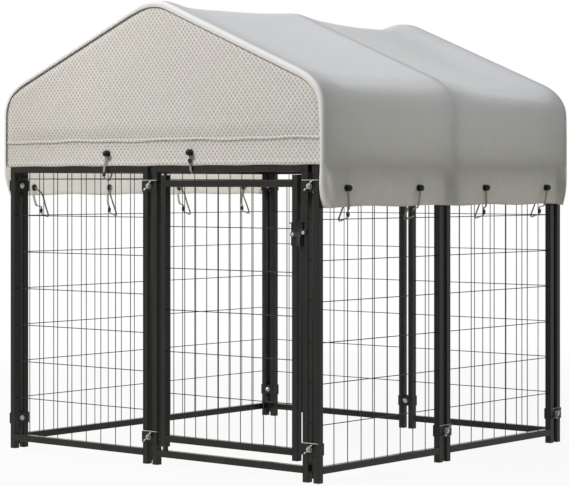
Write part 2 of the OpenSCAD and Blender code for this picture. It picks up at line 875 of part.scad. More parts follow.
module tie_cords() {
  color(grey_cord) {
    for (side = [1, 3], t = side_ties)
      on_side(side)
        tie(side_grommet_n, side_grommet_z, side_front, side_sleeve_n, wire_n, side_row_z, wire_turn,
          side_back, t, mesh_gap(t));
    for (side = [0, 2], t = gable_ties)
      on_side(side)
        if (beside_gate(side, t))
          tie(gable_grommet_n, gable_grommet_z, rail_front, gable_sleeve_n, half, panel_h - tube / 2,
            rail_turn, rail_loop_back, t, t);
        else
          tie(gable_grommet_n, gable_grommet_z, gable_front, gable_sleeve_n, wire_n, top_row_z, wire_turn,
            gable_back, t, mesh_gap(t));
  }
}

// A crimped sleeve with a bore for each strand
module tie_sleeve() {
  difference() {
    cylinder(h = sleeve_h, d = sleeve_d, center = true, $fn = round_fn);
    for (s = [-1, 1])
      translate([s * strand, 0, 0])
        cylinder(h = 2 * sleeve_h, r = cord_d / 2 + sleeve_fit, center = true, $fn = round_fn);
  }
}

module tie_sleeves() {
  color(black_plastic) {
    for (side = [1, 3], t = side_ties)
      on_side(side)
        translate([mesh_gap(t), half - side_sleeve_n, side_row_z + wire_turn + sleeve_drop])
          tie_sleeve();
    for (side = [0, 2], t = gable_ties) {
      on_rail = beside_gate(side, t);
      sleeve_z = on_rail ? panel_h - tube / 2 + rail_turn : top_row_z + wire_turn;
      on_side(side)
        translate([on_rail ? t : mesh_gap(t), half - gable_sleeve_n, sleeve_z + sleeve_drop])
          tie_sleeve();
    }
  }
}

// Gate

// The lower pin carries the gate on a collar, and the upper one only guides it
module hinge_pins() {
  seat = tube_wall + clamp_gap;
  color(zinc)
    on_side(0)
      translate([hinge_x, 0, 0]) {
        translate([0, 0, foot_h + seat])
          cylinder(h = gate_z0 + pin_reach - foot_h - seat, d = pin_d, $fn = round_fn);
        translate([0, 0, rail_top])
          cylinder(h = sill_gap - cap_t - collar_gap, d = collar_d, $fn = round_fn);
        translate([0, 0, gate_z1 - pin_reach])
          cylinder(h = panel_h - seat - gate_z1 + pin_reach, d = pin_d, $fn = round_fn);
      }
}

module hinge_bush() {
  difference() {
    union() {
      translate([0, 0, -cap_t])
        linear_extrude(cap_t)
          rounded_square(tube, tube_r);
      linear_extrude(bush_plug)
        rounded_square(tube_bore - 2 * cap_fit, tube_r);
    }
    translate([0, 0, -2 * cap_t])
      cylinder(h = bush_plug + 4 * cap_t, r = pin_d / 2 + pin_fit, $fn = round_fn);
  }
}

module hinge_bushes() {
  color(black_plastic)
    on_side(0)
      translate([hinge_x, 0, 0]) {
        translate([0, 0, gate_z0])
          hinge_bush();
        translate([0, 0, gate_z1])
          mirror([0, 0, 1])
            hinge_bush();
      }
}

module gate_caps() {
  color(black_plastic)
    on_side(0)
      translate([latch_x, 0, 0]) {
        translate([0, 0, gate_z0])
          end_cap();
        translate([0, 0, gate_z1])
          mirror([0, 0, 1])
            end_cap();
      }
}

module gate_leaf() {
  color(black_coat)
    on_side(0)
      difference() {
        union() {
          for (x = [hinge_x, latch_x])
            translate([x, 0, gate_z0])
              square_tube(gate_z1 - gate_z0);
          for (z = [gate_rail0, gate_rail1])
            level_tube(hinge_x + tube / 2, latch_x - tube / 2, z);
        }
        translate([latch_x, 0, latch_h])
          rotate([90, 0, 0])
            cylinder(h = tube, r = pivot_d / 2 + latch_fit, $fn = round_fn);
      }
}

module gate_mesh() {
  color(wire_coat)
    on_side(0)
      wire_sheet(hinge_x + tube / 2, latch_x - tube / 2, gate_rail0 + tube, gate_rail1,
        gate_wire_pitch, gate_row_pitch);
}

// Latch: children are drawn flat, with the pivot at the origin and +Z out of the gate's front
module at_latch(depth) {
  on_side(0)
    translate([latch_x, -depth, latch_h])
      rotate([90, 0, 0])
        children();
}

// The backing plate laps over the jamb, which stops the gate, and its lip stops the lever
module latch_plate() {
  color(black_coat)
    at_latch(tube / 2 + latch_gap_y)
      difference() {
        union() {
          translate([-plate_side, -latch_plate_down, 0])
            cube([plate_side + plate_reach, latch_plate_down + latch_plate_up + lip_t, latch_plate_t]);
          translate([-plate_side, latch_plate_up, 0])
            cube([plate_side + plate_reach, lip_t, latch_plate_t + latch_lip]);
        }
        translate([0, 0, -1])
          cylinder(h = latch_plate_t + 2, r = pivot_d / 2 + latch_fit, $fn = round_fn);
      }
}

module button_head() {
  cylinder(h = latch_head_t / 2, d = latch_head_d, $fn = round_fn);
  translate([0, 0, latch_head_t / 2])
    cylinder(h = latch_head_t / 2, d1 = latch_head_d, d2 = latch_head_d - latch_head_t, $fn = round_fn);
}

module latch_bolt() {
  head = lever_y + lever_t + latch_gap_y;
  color(zinc)
    at_latch(0)
      union() {
        cylinder(h = head, d = pivot_d, $fn = round_fn);
        translate([0, 0, head])
          button_head();
      }
}

module latch_keeper() {
  head = lever_y + lever_t + latch_gap_y;
  color(zinc)
    at_latch(0)
      translate([stud_dx, stud_up, 0]) {
        cylinder(h = head, d = stud_d, $fn = round_fn);
        translate([0, 0, head])
          button_head();
      }
}

// A flat lever whose notched nose drops over the keeper, with a finger tab to lift it
module latch_lever() {
  nose_top = stud_up + lever_cap;
  nose_x0 = stud_dx - lever_nose - 2;
  nose_low = stud_up - notch_d / 2 - 2;
  color(steel)
    at_latch(lever_y)
      linear_extrude(lever_t)
        difference() {
          union() {
            circle(lever_eye, $fn = round_fn);
            translate([0, -lever_half])
              square([nose_x0 + 2, 2 * lever_half]);
            translate([nose_x0, nose_low])
              square([stud_dx + lever_nose - nose_x0, nose_top - nose_low]);
            translate([tab_dx - tab_w, -lever_tab + tab_w / 2])
              square([tab_w, lever_tab]);
            translate([tab_dx - tab_w / 2, -lever_tab + tab_w / 2])
              circle(tab_w / 2, $fn = round_fn);
          }
          circle(pivot_d / 2 + latch_fit, $fn = round_fn);
          translate([stud_dx, stud_up])
            circle(notch_d / 2, $fn = round_fn);
          polygon([[stud_dx - notch_d / 2, stud_up], [stud_dx + notch_d / 2, stud_up],
            [stud_dx + notch_mouth / 2, -2 * lever_half], [stud_dx - notch_mouth / 2, -2 * lever_half]]);
        }
}

panel(0, left_start);  // panel_front_left
panel_front_gate();
panel(1, left_start);  // panel_right_front
panel(1, right_start);  // panel_right_rear
panel(2, left_start);  // panel_back_right
panel(2, right_start);  // panel_back_left
panel(3, left_start);  // panel_left_rear
panel(3, right_start);  // panel_left_front
mesh(0, left_start);  // mesh_front_left
mesh(1, left_start);  // mesh_right_front
mesh(1, right_start);  // mesh_right_rear
mesh(2, left_start);  // mesh_back_right
mesh(2, right_start);  // mesh_back_left
mesh(3, left_start);  // mesh_left_rear
mesh(3, right_start);  // mesh_left_front
foot_caps();
post_caps();
clamp_plates_outer();
clamp_plates_inner();
clamp_bolts();
wing_nuts();
hoop(-half);  // hoop_front
hoop(0);  // hoop_middle
hoop(half);  // hoop_rear
ridge_spigots();
cover_roof();
gable_front();
gable_rear();
gable_piping();
grommets();
tie_cords();
tie_sleeves();
hinge_pins();
latch_keeper();
gate_leaf();
gate_mesh();
hinge_bushes();
gate_caps();
latch_plate();
latch_bolt();
latch_lever();
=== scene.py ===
"""Looks of the outdoor dog kennel run: studio, finishes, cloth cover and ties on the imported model."""

import logging
import math
from dataclasses import dataclass
from enum import Enum
from typing import Callable, Iterator, Sequence, Union

import bmesh
import bpy
from mathutils import Matrix, Vector, noise


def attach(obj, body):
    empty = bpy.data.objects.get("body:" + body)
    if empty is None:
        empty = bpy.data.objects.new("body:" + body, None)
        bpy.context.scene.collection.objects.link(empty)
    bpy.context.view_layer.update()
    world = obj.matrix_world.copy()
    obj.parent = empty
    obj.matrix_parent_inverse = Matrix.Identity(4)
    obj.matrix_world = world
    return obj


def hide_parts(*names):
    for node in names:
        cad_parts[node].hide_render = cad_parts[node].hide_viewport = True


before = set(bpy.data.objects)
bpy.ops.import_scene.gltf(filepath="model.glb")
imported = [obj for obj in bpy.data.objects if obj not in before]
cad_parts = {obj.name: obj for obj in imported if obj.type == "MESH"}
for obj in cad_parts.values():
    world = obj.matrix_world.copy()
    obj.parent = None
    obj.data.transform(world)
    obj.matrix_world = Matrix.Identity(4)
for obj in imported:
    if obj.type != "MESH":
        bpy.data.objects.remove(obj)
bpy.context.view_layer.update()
LOG = logging.getLogger("kennel")

Colour = tuple[float, float, float]
Feed = Union["Value", float, Sequence[float]]
Parts = Union[bmesh.types.BMVertSeq, bmesh.types.BMFaceSeq]
Span = tuple[float, float]
ORDER_DIGITS = 6


# Shader maths


class Value:
    """A socket of a material, which adds Math nodes where it stands in an expression."""

    def __init__(self, shade: "Shade", socket: bpy.types.NodeSocket | None) -> None:
        """Wrap one output socket of a material.

        Args:
            shade: The material that the socket belongs to.
            socket: The output socket, or nothing where a node has none.
        """
        self.shade = shade
        self.socket = socket

    def _math(self, operation: str, *terms: Feed) -> "Value":
        """Return the result of one Math node on these terms."""
        return self.shade.node("ShaderNodeMath", {"operation": operation}, dict(enumerate(terms)))

    def __add__(self, other: Feed) -> "Value":
        """Return self + other."""
        return self._math("ADD", self, other)

    def __radd__(self, other: Feed) -> "Value":
        """Return other + self."""
        return self._math("ADD", other, self)

    def __sub__(self, other: Feed) -> "Value":
        """Return self - other."""
        return self._math("SUBTRACT", self, other)

    def __rsub__(self, other: Feed) -> "Value":
        """Return other - self."""
        return self._math("SUBTRACT", other, self)

    def __mul__(self, other: Feed) -> "Value":
        """Return self * other."""
        return self._math("MULTIPLY", self, other)

    def __truediv__(self, other: Feed) -> "Value":
        """Return self / other."""
        return self._math("DIVIDE", self, other)

    def sine(self) -> "Value":
        """Return the sine of the value, in radians."""
        return self._math("SINE", self)

    def absolute(self) -> "Value":
        """Return the value without its sign."""
        return self._math("ABSOLUTE", self)

    def at_least(self, other: Feed) -> "Value":
        """Return the larger of self and other."""
        return self._math("MAXIMUM", self, other)

    def wave(self, pitch: float) -> "Value":
        """Return a wave from 0 to 1 that repeats after pitch."""
        return (self * (2 * math.pi / pitch)).sine() * 0.5 + 0.5

    def ramp(self, low: float, high: float) -> "Value":
        """Return a smooth step from 0 at low to 1 at high."""
        return self.shade.node(
            "ShaderNodeMapRange",
            {"interpolation_type": "SMOOTHSTEP"},
            {"Value": self, "From Min": low, "From Max": high},
        )

    def fold(self) -> "Value":
        """Return 1 at whole numbers and 0 half way between them."""
        return (self._math("FRACT", self) - 0.5).absolute() * 2.0

    def band(self, centre: float, half_width: float) -> "Value":
        """Return 1 on a line at centre, falling to 0 at half_width from it."""
        return 1.0 - (self - centre).absolute().ramp(0.0, half_width)


class Shade:
    """A node tree under construction, of a material or of the world."""

    def __init__(self, owner: bpy.types.Material | bpy.types.World) -> None:
        """Start an empty node tree.

        Args:
            owner: The material or the world that the tree belongs to.
        """
        self.owner = owner
        owner.use_nodes = True
        self.tree = owner.node_tree
        self.tree.nodes.clear()

    @classmethod
    def named(cls, name: str) -> "Shade":
        """Return the empty tree of a new material."""
        return cls(bpy.data.materials.new(name))

    def node(
        self,
        kind: str,
        settings: dict[str, object] | None = None,
        inputs: dict[int | str, Feed] | None = None,
        output: int | str = 0,
    ) -> Value:
        """Add one node, set it up, and feed its sockets.

        Args:
            kind: The node's type name.
            settings: Properties, which are set before the sockets are fed.
            inputs: Values or links by socket name or number.
            output: The output socket to return.

        Returns:
            The chosen output.
        """
        made = self.tree.nodes.new(kind)
        for key, value in (settings or {}).items():
            setattr(made, key, value)
        for key, value in (inputs or {}).items():
            self.feed(made.inputs[key], value)
        return Value(self, made.outputs[output] if made.outputs else None)

    def feed(self, socket: bpy.types.NodeSocket, value: Feed) -> None:
        """Link or set one input socket.

        Args:
            socket: The input socket.
            value: A link, a number, or a colour or vector.
        """
        if isinstance(value, Value):
            self.tree.links.new(value.socket, socket)
        elif isinstance(value, (int, float)):
            socket.default_value = value
        else:
            size = len(socket.default_value)
            socket.default_value = (*value, 1.0)[:size]

    def place(self) -> Value:
        """Return the point in the object's own coordinates."""
        return self.node("ShaderNodeTexCoord", output="Object")

    def cut(self) -> Value:
        """Return the point on the flat cut of the cloth, from its UV map, in metres."""
        return self.node("ShaderNodeTexCoord", output="UV")

    def parts(self, vector: Value) -> tuple[Value, Value, Value]:
        """Return the three parts of a vector."""
        split = self.node("ShaderNodeSeparateXYZ", None, {0: vector}).socket.node
        return tuple(Value(self, s) for s in split.outputs)

    def cloud(self, vector: Value, scale: float, detail: float = 2.0, rough: float = 0.5) -> Value:
        """Make soft noise between 0 and 1.

        Args:
            vector: Where the noise is read.
            scale: How many clouds there are to a metre.
            detail: How many finer layers lie on them.
            rough: How strong the finer layers are.

        Returns:
            The noise.
        """
        return self.node(
            "ShaderNodeTexNoise",
            {"normalize": True},
            {"Vector": vector, "Scale": scale, "Detail": detail, "Roughness": rough},
        )

    def stretch(self, vector: Value, scale: Sequence[float]) -> Value:
        """Return a vector with each part scaled by its own factor."""
        return self.node("ShaderNodeMapping", None, {"Vector": vector, "Scale": scale})

    def blend(self, factor: Feed, first: Feed, second: Feed) -> Value:
        """Return a colour between two colours."""
        return self.node("ShaderNodeMix", {"data_type": "RGBA"}, {0: factor, 6: first, 7: second}, 2)

    def relief(self, height: Value, strength: float, depth: float, under: Value | None = None) -> Value:
        """Bend the normal by a height.

        Args:
            height: Height between 0 and 1.
            strength: How much of the relief shows.
            depth: Depth of the full height, in metres.
            under: A normal that the relief lies on.

        Returns:
            The bent normal.
        """
        inputs = {"Height": height, "Strength": strength, "Distance": depth}
        if under is not None:
            inputs["Normal"] = under
        return self.node("ShaderNodeBump", None, inputs)

    def skin(self, **sockets: Feed) -> Value:
        """Return a Principled shader with these inputs, whose names have spaces as underscores."""
        named = {key.replace("_", " "): value for key, value in sockets.items()}
        return self.node("ShaderNodeBsdfPrincipled", None, named)

    def surface(self, **sockets: Feed) -> bpy.types.Material:
        """Return the material, closed with a Principled surface with these inputs."""
        return self.output(self.skin(**sockets))

    def thin(self, through: float, glow: Feed, **sockets: Feed) -> bpy.types.Material:
        """Close the material with a thin cloth that lets some light through.

        Args:
            through: Share of the light that goes through the cloth.
            glow: Colour of that light.
            sockets: Inputs of the cloth's own surface, with spaces as underscores.

        Returns:
            The finished material.
        """
        behind = self.node("ShaderNodeBsdfTranslucent", None, {"Color": glow})
        mixed = {0: through, 1: self.skin(**sockets), 2: behind}
        return self.output(self.node("ShaderNodeMixShader", None, mixed))

    def output(self, shader: Value) -> bpy.types.Material:
        """Link a shader to the material's output and return the material."""
        self.node("ShaderNodeOutputMaterial", None, {"Surface": shader})
        return self.owner


# Finishes


@dataclass(frozen=True)
class PowderCoat:
    """Black powder coat on steel, with the fine skin of baked powder and a little dust."""

    name: str
    colour: Colour = (0.0092, 0.0086, 0.0064)
    dust: Colour = (0.033, 0.031, 0.025)
    dust_share: float = 0.28
    splash_tall: float = 0.12
    splash_share: float = 0.5
    scuff: Colour = (0.16, 0.16, 0.16)
    scuff_share: float = 0.18
    roughness: float = 0.19
    shine: float = 0.23
    skin: float = 0.0016

    def make(self) -> bpy.types.Material:
        """Build the finish.

        Returns:
            The material.
        """
        shade = Shade.named(self.name)
        place = shade.place()
        _, _, height = shade.parts(place)
        skin = shade.cloud(place, scale=1.0 / self.skin, detail=1.0)
        patches = shade.cloud(place, scale=9.0, detail=4.0, rough=0.6)
        streaks = shade.stretch(place, (60.0, 60.0, 14.0))
        scuffs = shade.cloud(streaks, scale=4.0, detail=5.0, rough=0.7).ramp(0.66, 0.78)
        low = 1.0 - height.ramp(0.0, self.splash_tall)
        dusty = patches.ramp(0.45, 0.8) * self.dust_share + low * patches * self.splash_share
        colour = shade.blend(dusty, self.colour, self.dust)
        return shade.surface(
            Base_Color=shade.blend(scuffs * self.scuff_share, colour, self.scuff),
            Roughness=self.roughness + patches * 0.1 + scuffs * 0.1,
            Specular_IOR_Level=self.shine,
            Normal=shade.relief(skin, strength=0.16, depth=0.0003),
        )


@dataclass(frozen=True)
class ZincPlate:
    """Bright zinc plate with faint spangle and grime."""

    name: str
    colour: Colour = (0.38, 0.384, 0.388)
    grime: Colour = (0.13, 0.127, 0.12)
    grime_share: float = 0.6
    roughness: float = 0.3

    def make(self) -> bpy.types.Material:
        """Build the finish.

        Returns:
            The material.
        """
        shade = Shade.named(self.name)
        place = shade.place()
        spangle = shade.node("ShaderNodeTexVoronoi", None, {"Vector": place, "Scale": 420.0})
        grime = shade.cloud(place, scale=160.0, detail=4.0, rough=0.6)
        return shade.surface(
            Base_Color=shade.blend(grime.ramp(0.55, 0.8) * self.grime_share, self.colour, self.grime),
            Metallic=1.0,
            Roughness=self.roughness + grime * 0.2,
            Normal=shade.relief(spangle, strength=0.12, depth=0.0002),
        )


@dataclass(frozen=True)
class MouldedPlastic:
    """Black moulded plastic with a fine spark-eroded grain, paler where it is worn."""

    name: str
    colour: Colour = (0.012, 0.012, 0.012)
    paler: float = 3.5
    wear_share: float = 0.35
    roughness: float = 0.5
    shine: float = 0.4

    def make(self) -> bpy.types.Material:
        """Build the finish.

        Returns:
            The material.
        """
        shade = Shade.named(self.name)
        place = shade.place()
        grain = shade.cloud(place, scale=1400.0, detail=1.0)
        wear = shade.cloud(place, scale=40.0, detail=3.0).ramp(0.5, 0.8)
        worn = tuple(self.paler * part for part in self.colour)
        return shade.surface(
            Base_Color=shade.blend(wear * self.wear_share, self.colour, worn),
            Roughness=self.roughness + wear * 0.12,
            Specular_IOR_Level=self.shine,
            Normal=shade.relief(grain, strength=0.2, depth=0.0002),
        )


@dataclass(frozen=True)
class CoatedSheet:
    """Coated woven sheet: a fine plain weave under a smooth coat, with soft creases from folding."""

    name: str
    colour: Colour = (0.71, 0.735, 0.785)
    shadow: Colour = (0.645, 0.67, 0.72)
    shadow_share: float = 0.45
    # Painted shade and painted ground bounce: the cloth is darker and yellower towards the hem, in patches.
    painted_hem_shade: Colour = (0.458, 0.443, 0.29)
    painted_hem_shade_tall: Span = (0.34, 0.05)
    painted_hem_shade_share: Span = (0.35, 0.5)
    glow: Colour = (0.86, 0.845, 0.82)
    through: float = 0.4
    thread: float = 0.0022
    hem_run: float = 1.0035
    hem_tall: float = 0.024
    stitch: Colour = (0.4, 0.4, 0.385)
    stitch_share: float = 0.4
    stitch_half: float = 0.0015
    stitches: float = 160.0
    # Painted highlight: the turned edge over the end hoops is painted near white, for the light on its
    # rounded top.
    rim: Colour = (0.9, 0.9, 0.895)
    rim_highlight_share: float = 0.85
    rim_highlight_from: float = 0.604
    rim_highlight_soft: float = 0.008
    roughness: float = 0.52

    def make(self) -> bpy.types.Material:
        """Build the finish.

        Returns:
            The material.
        """
        shade = Shade.named(self.name)
        cut = shade.cut()
        across, along, _ = shade.parts(cut)
        weave = across.wave(self.thread) * along.wave(self.thread)
        creases = shade.cloud(shade.stretch(cut, (3.0, 7.0, 1.0)), scale=1.6, detail=3.0, rough=0.5)
        mottle = shade.cloud(cut, scale=26.0, detail=4.0, rough=0.6)
        run = across.absolute()
        sewn = self.hem_run - self.hem_tall
        dashes = (along * self.stitches).fold().ramp(0.35, 0.5)
        seam = run.band(sewn, self.stitch_half) * dashes
        hem = run.ramp(sewn - 0.003, sewn + 0.001)
        high, low = self.painted_hem_shade_tall
        even, patchy = self.painted_hem_shade_share
        # Painted shade and painted ground bounce: a darker, yellower band towards the hem.
        hem_shade_mask = run.ramp(self.hem_run - high, self.hem_run - low) * (even + mottle * patchy)
        base = shade.blend(mottle.ramp(0.3, 0.75) * self.shadow_share, self.colour, self.shadow)
        base = shade.blend(hem_shade_mask, base, self.painted_hem_shade)
        base = shade.blend(seam * self.stitch_share, base, self.stitch)
        # Painted highlight on the turned front and rear edges.
        if self.rim_highlight_share:
            rim = along.absolute().ramp(self.rim_highlight_from, self.rim_highlight_from + self.rim_highlight_soft)
            base = shade.blend(rim * self.rim_highlight_share, base, self.rim)
        soft = shade.relief(creases, strength=0.35, depth=0.006)
        folded = shade.relief(hem, strength=0.6, depth=0.0012, under=soft)
        return shade.thin(
            self.through,
            self.glow,
            Base_Color=base,
            Roughness=self.roughness + mottle * 0.12,
            Specular_IOR_Level=0.4,
            Sheen_Weight=0.06,
            Normal=shade.relief(weave, strength=0.3, depth=0.0003, under=folded),
        )


@dataclass(frozen=True)
class LatticeCloth:
    """Open woven cloth with a raised diamond lattice of thicker yarns, and a finer lattice between them."""

    name: str
    ground: Colour = (0.47, 0.448, 0.42)
    ground_worn: Colour = (0.483, 0.465, 0.434)
    yarn: Colour = (0.82, 0.785, 0.75)
    pit: Colour = (0.265, 0.252, 0.23)
    pit_share: float = 0.3
    wide: float = 0.0148
    tall: float = 0.0171
    finer: float = 1.65
    finer_share: float = 0.52
    # Painted shade: the cloth darkens towards its -x edge.
    left_shade_x: Span = (-0.62, -0.25)
    left_shade_share: float = 0.14
    thread: float = 0.0042

    def make(self) -> bpy.types.Material:
        """Build the finish.

        Returns:
            The material.
        """
        shade = Shade.named(self.name)
        place = shade.place()
        x, _, z = shade.parts(place)
        rising, falling = x / self.wide + z / self.tall, x / self.wide - z / self.tall
        yarns = rising.fold().ramp(0.5, 0.95).at_least(falling.fold().ramp(0.5, 0.95))
        pits = (1.0 - rising.fold().ramp(0.05, 0.55)) * (1.0 - falling.fold().ramp(0.05, 0.55))
        fine = ((rising * self.finer).fold() + (falling * self.finer).fold()).ramp(0.65, 1.45)
        weave = x.wave(self.thread) * z.wave(self.thread)
        mottle = shade.cloud(place, scale=30.0, detail=4.0, rough=0.6)
        left_unshaded = x.ramp(*self.left_shade_x)
        ground = shade.blend(mottle * 0.5, self.ground, self.ground_worn)
        colour = shade.blend(yarns * (0.7 + mottle * 0.3), ground, self.yarn)
        colour = shade.blend(pits * self.pit_share, colour, self.pit)
        # The finer lattice is the cloth's own pattern; the darkening towards -x is painted shade.
        pattern_and_left_shade = (1.0 - fine) * self.finer_share + (1.0 - left_unshaded) * self.left_shade_share
        colour = shade.blend(pattern_and_left_shade, colour, self.pit)
        folds = shade.cloud(shade.stretch(place, (3.0, 3.0, 5.0)), scale=1.5, detail=2.0)
        slack = shade.relief(folds, strength=0.25, depth=0.008)
        raised = shade.relief(yarns - pits * 0.5, strength=0.55, depth=0.0014, under=slack)
        return shade.surface(
            Base_Color=colour,
            Roughness=0.78,
            Specular_IOR_Level=0.3,
            Sheen_Weight=0.08,
            Normal=shade.relief(weave, strength=0.35, depth=0.0004, under=raised),
        )


@dataclass(frozen=True)
class BraidedCord:
    """Braided cord cover with a slanted rib."""

    name: str
    colour: Colour = (0.56, 0.55, 0.53)
    # Painted shade in the braid's grooves.
    dark: Colour = (0.31, 0.305, 0.295)
    rib: float = 0.0021
    slant: float = 0.6

    def make(self) -> bpy.types.Material:
        """Build the finish.

        Returns:
            The material.
        """
        shade = Shade.named(self.name)
        place = shade.place()
        x, y, z = shade.parts(place)
        rib = (z + (x + y) * self.slant).wave(self.rib)
        fuzz = shade.cloud(place, scale=900.0, detail=2.0)
        return shade.surface(
            # Painted shade: the braid is darker in the grooves between its ribs.
            Base_Color=shade.blend(rib * 0.6 + fuzz * 0.2, self.dark, self.colour),
            Roughness=0.8,
            Sheen_Weight=0.15,
            Normal=shade.relief(rib, strength=0.5, depth=0.0005),
        )


class Finishes(Enum):
    """The finishes of the kennel, one for each kind of piece."""

    TUBE = PowderCoat("black_tube_coat")
    WIRE = PowderCoat("black_wire_coat", colour=(0.016, 0.0155, 0.0145), roughness=0.4, skin=0.0009)
    PLATE = PowderCoat("black_plate_coat", roughness=0.18)
    # Painted highlight: a pale coat on the clamp lips for the light that catches their rolled top edges.
    LIP_HIGHLIGHT = PowderCoat("highlight_lip_coat", colour=(0.5, 0.5, 0.49), dust=(0.34, 0.335, 0.32), roughness=0.3)
    LEVER = PowderCoat("dark_lever_coat", colour=(0.03, 0.03, 0.03), roughness=0.25)
    ZINC = ZincPlate("bright_zinc")
    PLASTIC = MouldedPlastic("black_plastic")
    BALL = MouldedPlastic("gloss_black_ball", colour=(0.004, 0.004, 0.004), roughness=0.16, shine=0.22)
    # Painted shade: black strips that stand in for the shadow in the gaps between posts.
    STRIP = MouldedPlastic("black_gap_shade_strip", colour=(0.009, 0.009, 0.009), roughness=0.7, shine=0.2)
    ROOF = CoatedSheet("silver_roof_cloth")
    LINING = CoatedSheet(
        "pale_roof_lining", colour=(0.86, 0.845, 0.8), shadow=(0.8, 0.785, 0.74), painted_hem_shade=(0.82, 0.8, 0.75),
        glow=(0.9, 0.885, 0.855), through=0.82, roughness=0.65, rim_highlight_share=0.0,
    )
    GABLE = LatticeCloth("lattice_gable_cloth")
    # Painted shade: the seam binding is coloured dark for the shadow line between the gable and the turned
    # edge.
    BINDING = CoatedSheet(
        "seam_shade_binding", colour=(0.17, 0.168, 0.162), shadow=(0.12, 0.118, 0.114),
        painted_hem_shade=(0.12, 0.118, 0.114), through=0.0, hem_run=9.0, rim_highlight_share=0.0,
    )
    CORD = BraidedCord("grey_tie_cord")

    def material(self) -> bpy.types.Material:
        """Return the finish's material, made the first time that it is asked for."""
        return bpy.data.materials.get(self.value.name) or self.value.make()


# Shared mesh work


def piece(name: str, mesh: bpy.types.Mesh, finishes: Sequence[Finishes]) -> bpy.types.Object:
    """Make a finished piece that rides on the frame.

    Args:
        name: The piece's name.
        mesh: Its mesh, in place.
        finishes: Its finishes, in the order of the mesh's material numbers.

    Returns:
        The new object.
    """
    made = bpy.data.objects.new(name, mesh)
    bpy.context.scene.collection.objects.link(made)
    for finish in finishes:
        mesh.materials.append(finish.material())
    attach(made, "frame")
    return made


def set_in_order(parts: Parts, place: Callable[..., Vector]) -> None:
    """Order the parts of a bmesh by where they are, so that each run writes them alike.

    Args:
        parts: Its corners or its faces.
        place: Tells where one of them is.
    """
    spots = {part: tuple(round(value, ORDER_DIGITS) for value in place(part)) for part in parts}
    ranks = {part: rank for rank, part in enumerate(sorted(parts, key=spots.get))}
    parts.sort(key=ranks.get)


def to_mesh(name: str, work: bmesh.types.BMesh, smooth: bool = True) -> bpy.types.Mesh:
    """Close a bmesh into a mesh.

    Args:
        name: The mesh's name.
        work: The bmesh, which is freed.
        smooth: Whether its faces are shaded smooth.

    Returns:
        The mesh.
    """
    mesh = bpy.data.meshes.new(name)
    set_in_order(work.verts, lambda vert: vert.co)
    set_in_order(work.faces, lambda face: face.calc_center_median())
    for face in work.faces:
        face.smooth = smooth
    work.to_mesh(mesh)
    work.free()
    return mesh


def thicken(sheet: bpy.types.Object, thick: float) -> bpy.types.SolidifyModifier:
    """Give a sheet its thickness, inwards.

    Args:
        sheet: The sheet.
        thick: Its thickness.

    Returns:
        The modifier that does it.
    """
    wall = sheet.modifiers.new("cloth", "SOLIDIFY")
    wall.thickness, wall.offset = thick, -1.0
    return wall


def ease(value: float, low: float, high: float) -> float:
    """Return a smooth step from 0 at low to 1 at high."""
    t = min(1.0, max(0.0, (value - low) / (high - low)))
    return t * t * (3.0 - 2.0 * t)


def through(points: Sequence[Vector], steps: int) -> list[Vector]:
    """Draw a smooth line through points.

    Args:
        points: The points, in order.
        steps: The number of steps between two points.

    Returns:
        The line's points, with the first and the last as given.
    """
    ends = [2 * points[0] - points[1], *points, 2 * points[-1] - points[-2]]
    line = []
    for a, b, c, d in zip(ends, ends[1:], ends[2:], ends[3:]):
        span = (c - b).length
        leave = (c - a) * (span / ((b - a).length + span))
        arrive = (d - b) * (span / ((d - c).length + span))
        for k in range(steps):
            t = k / steps
            rise = t * t * (3.0 - 2.0 * t)
            line.append(b.lerp(c, rise) + leave * (t * (1.0 - t) ** 2) - arrive * (t * t * (1.0 - t)))
    return [*line, points[-1].copy()]


def tube_curve(
    name: str, line: Sequence[Vector], radius: float, finish: Finishes, node: str
) -> bpy.types.Object:
    """Make a round tube along a line, which rides on the frame.

    Args:
        name: The piece's name.
        line: The centre line.
        radius: The tube's radius.
        finish: Its finish.
        node: The CAD node that it stands for.

    Returns:
        A curve object of one open spline.
    """
    data = bpy.data.curves.new(name, "CURVE")
    data.dimensions = "3D"
    data.bevel_depth = radius
    data.bevel_resolution = 3
    data.use_fill_caps = True
    spline = data.splines.new("POLY")
    spline.points.add(len(line) - 1)
    for point, place in zip(spline.points, line):
        point.co = (*place, 1.0)
    spline.use_smooth = True
    data.materials.append(finish.material())
    made = bpy.data.objects.new(name, data)
    bpy.context.scene.collection.objects.link(made)
    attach(made, "frame")
    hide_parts(node)
    return made


# The kennel's pieces


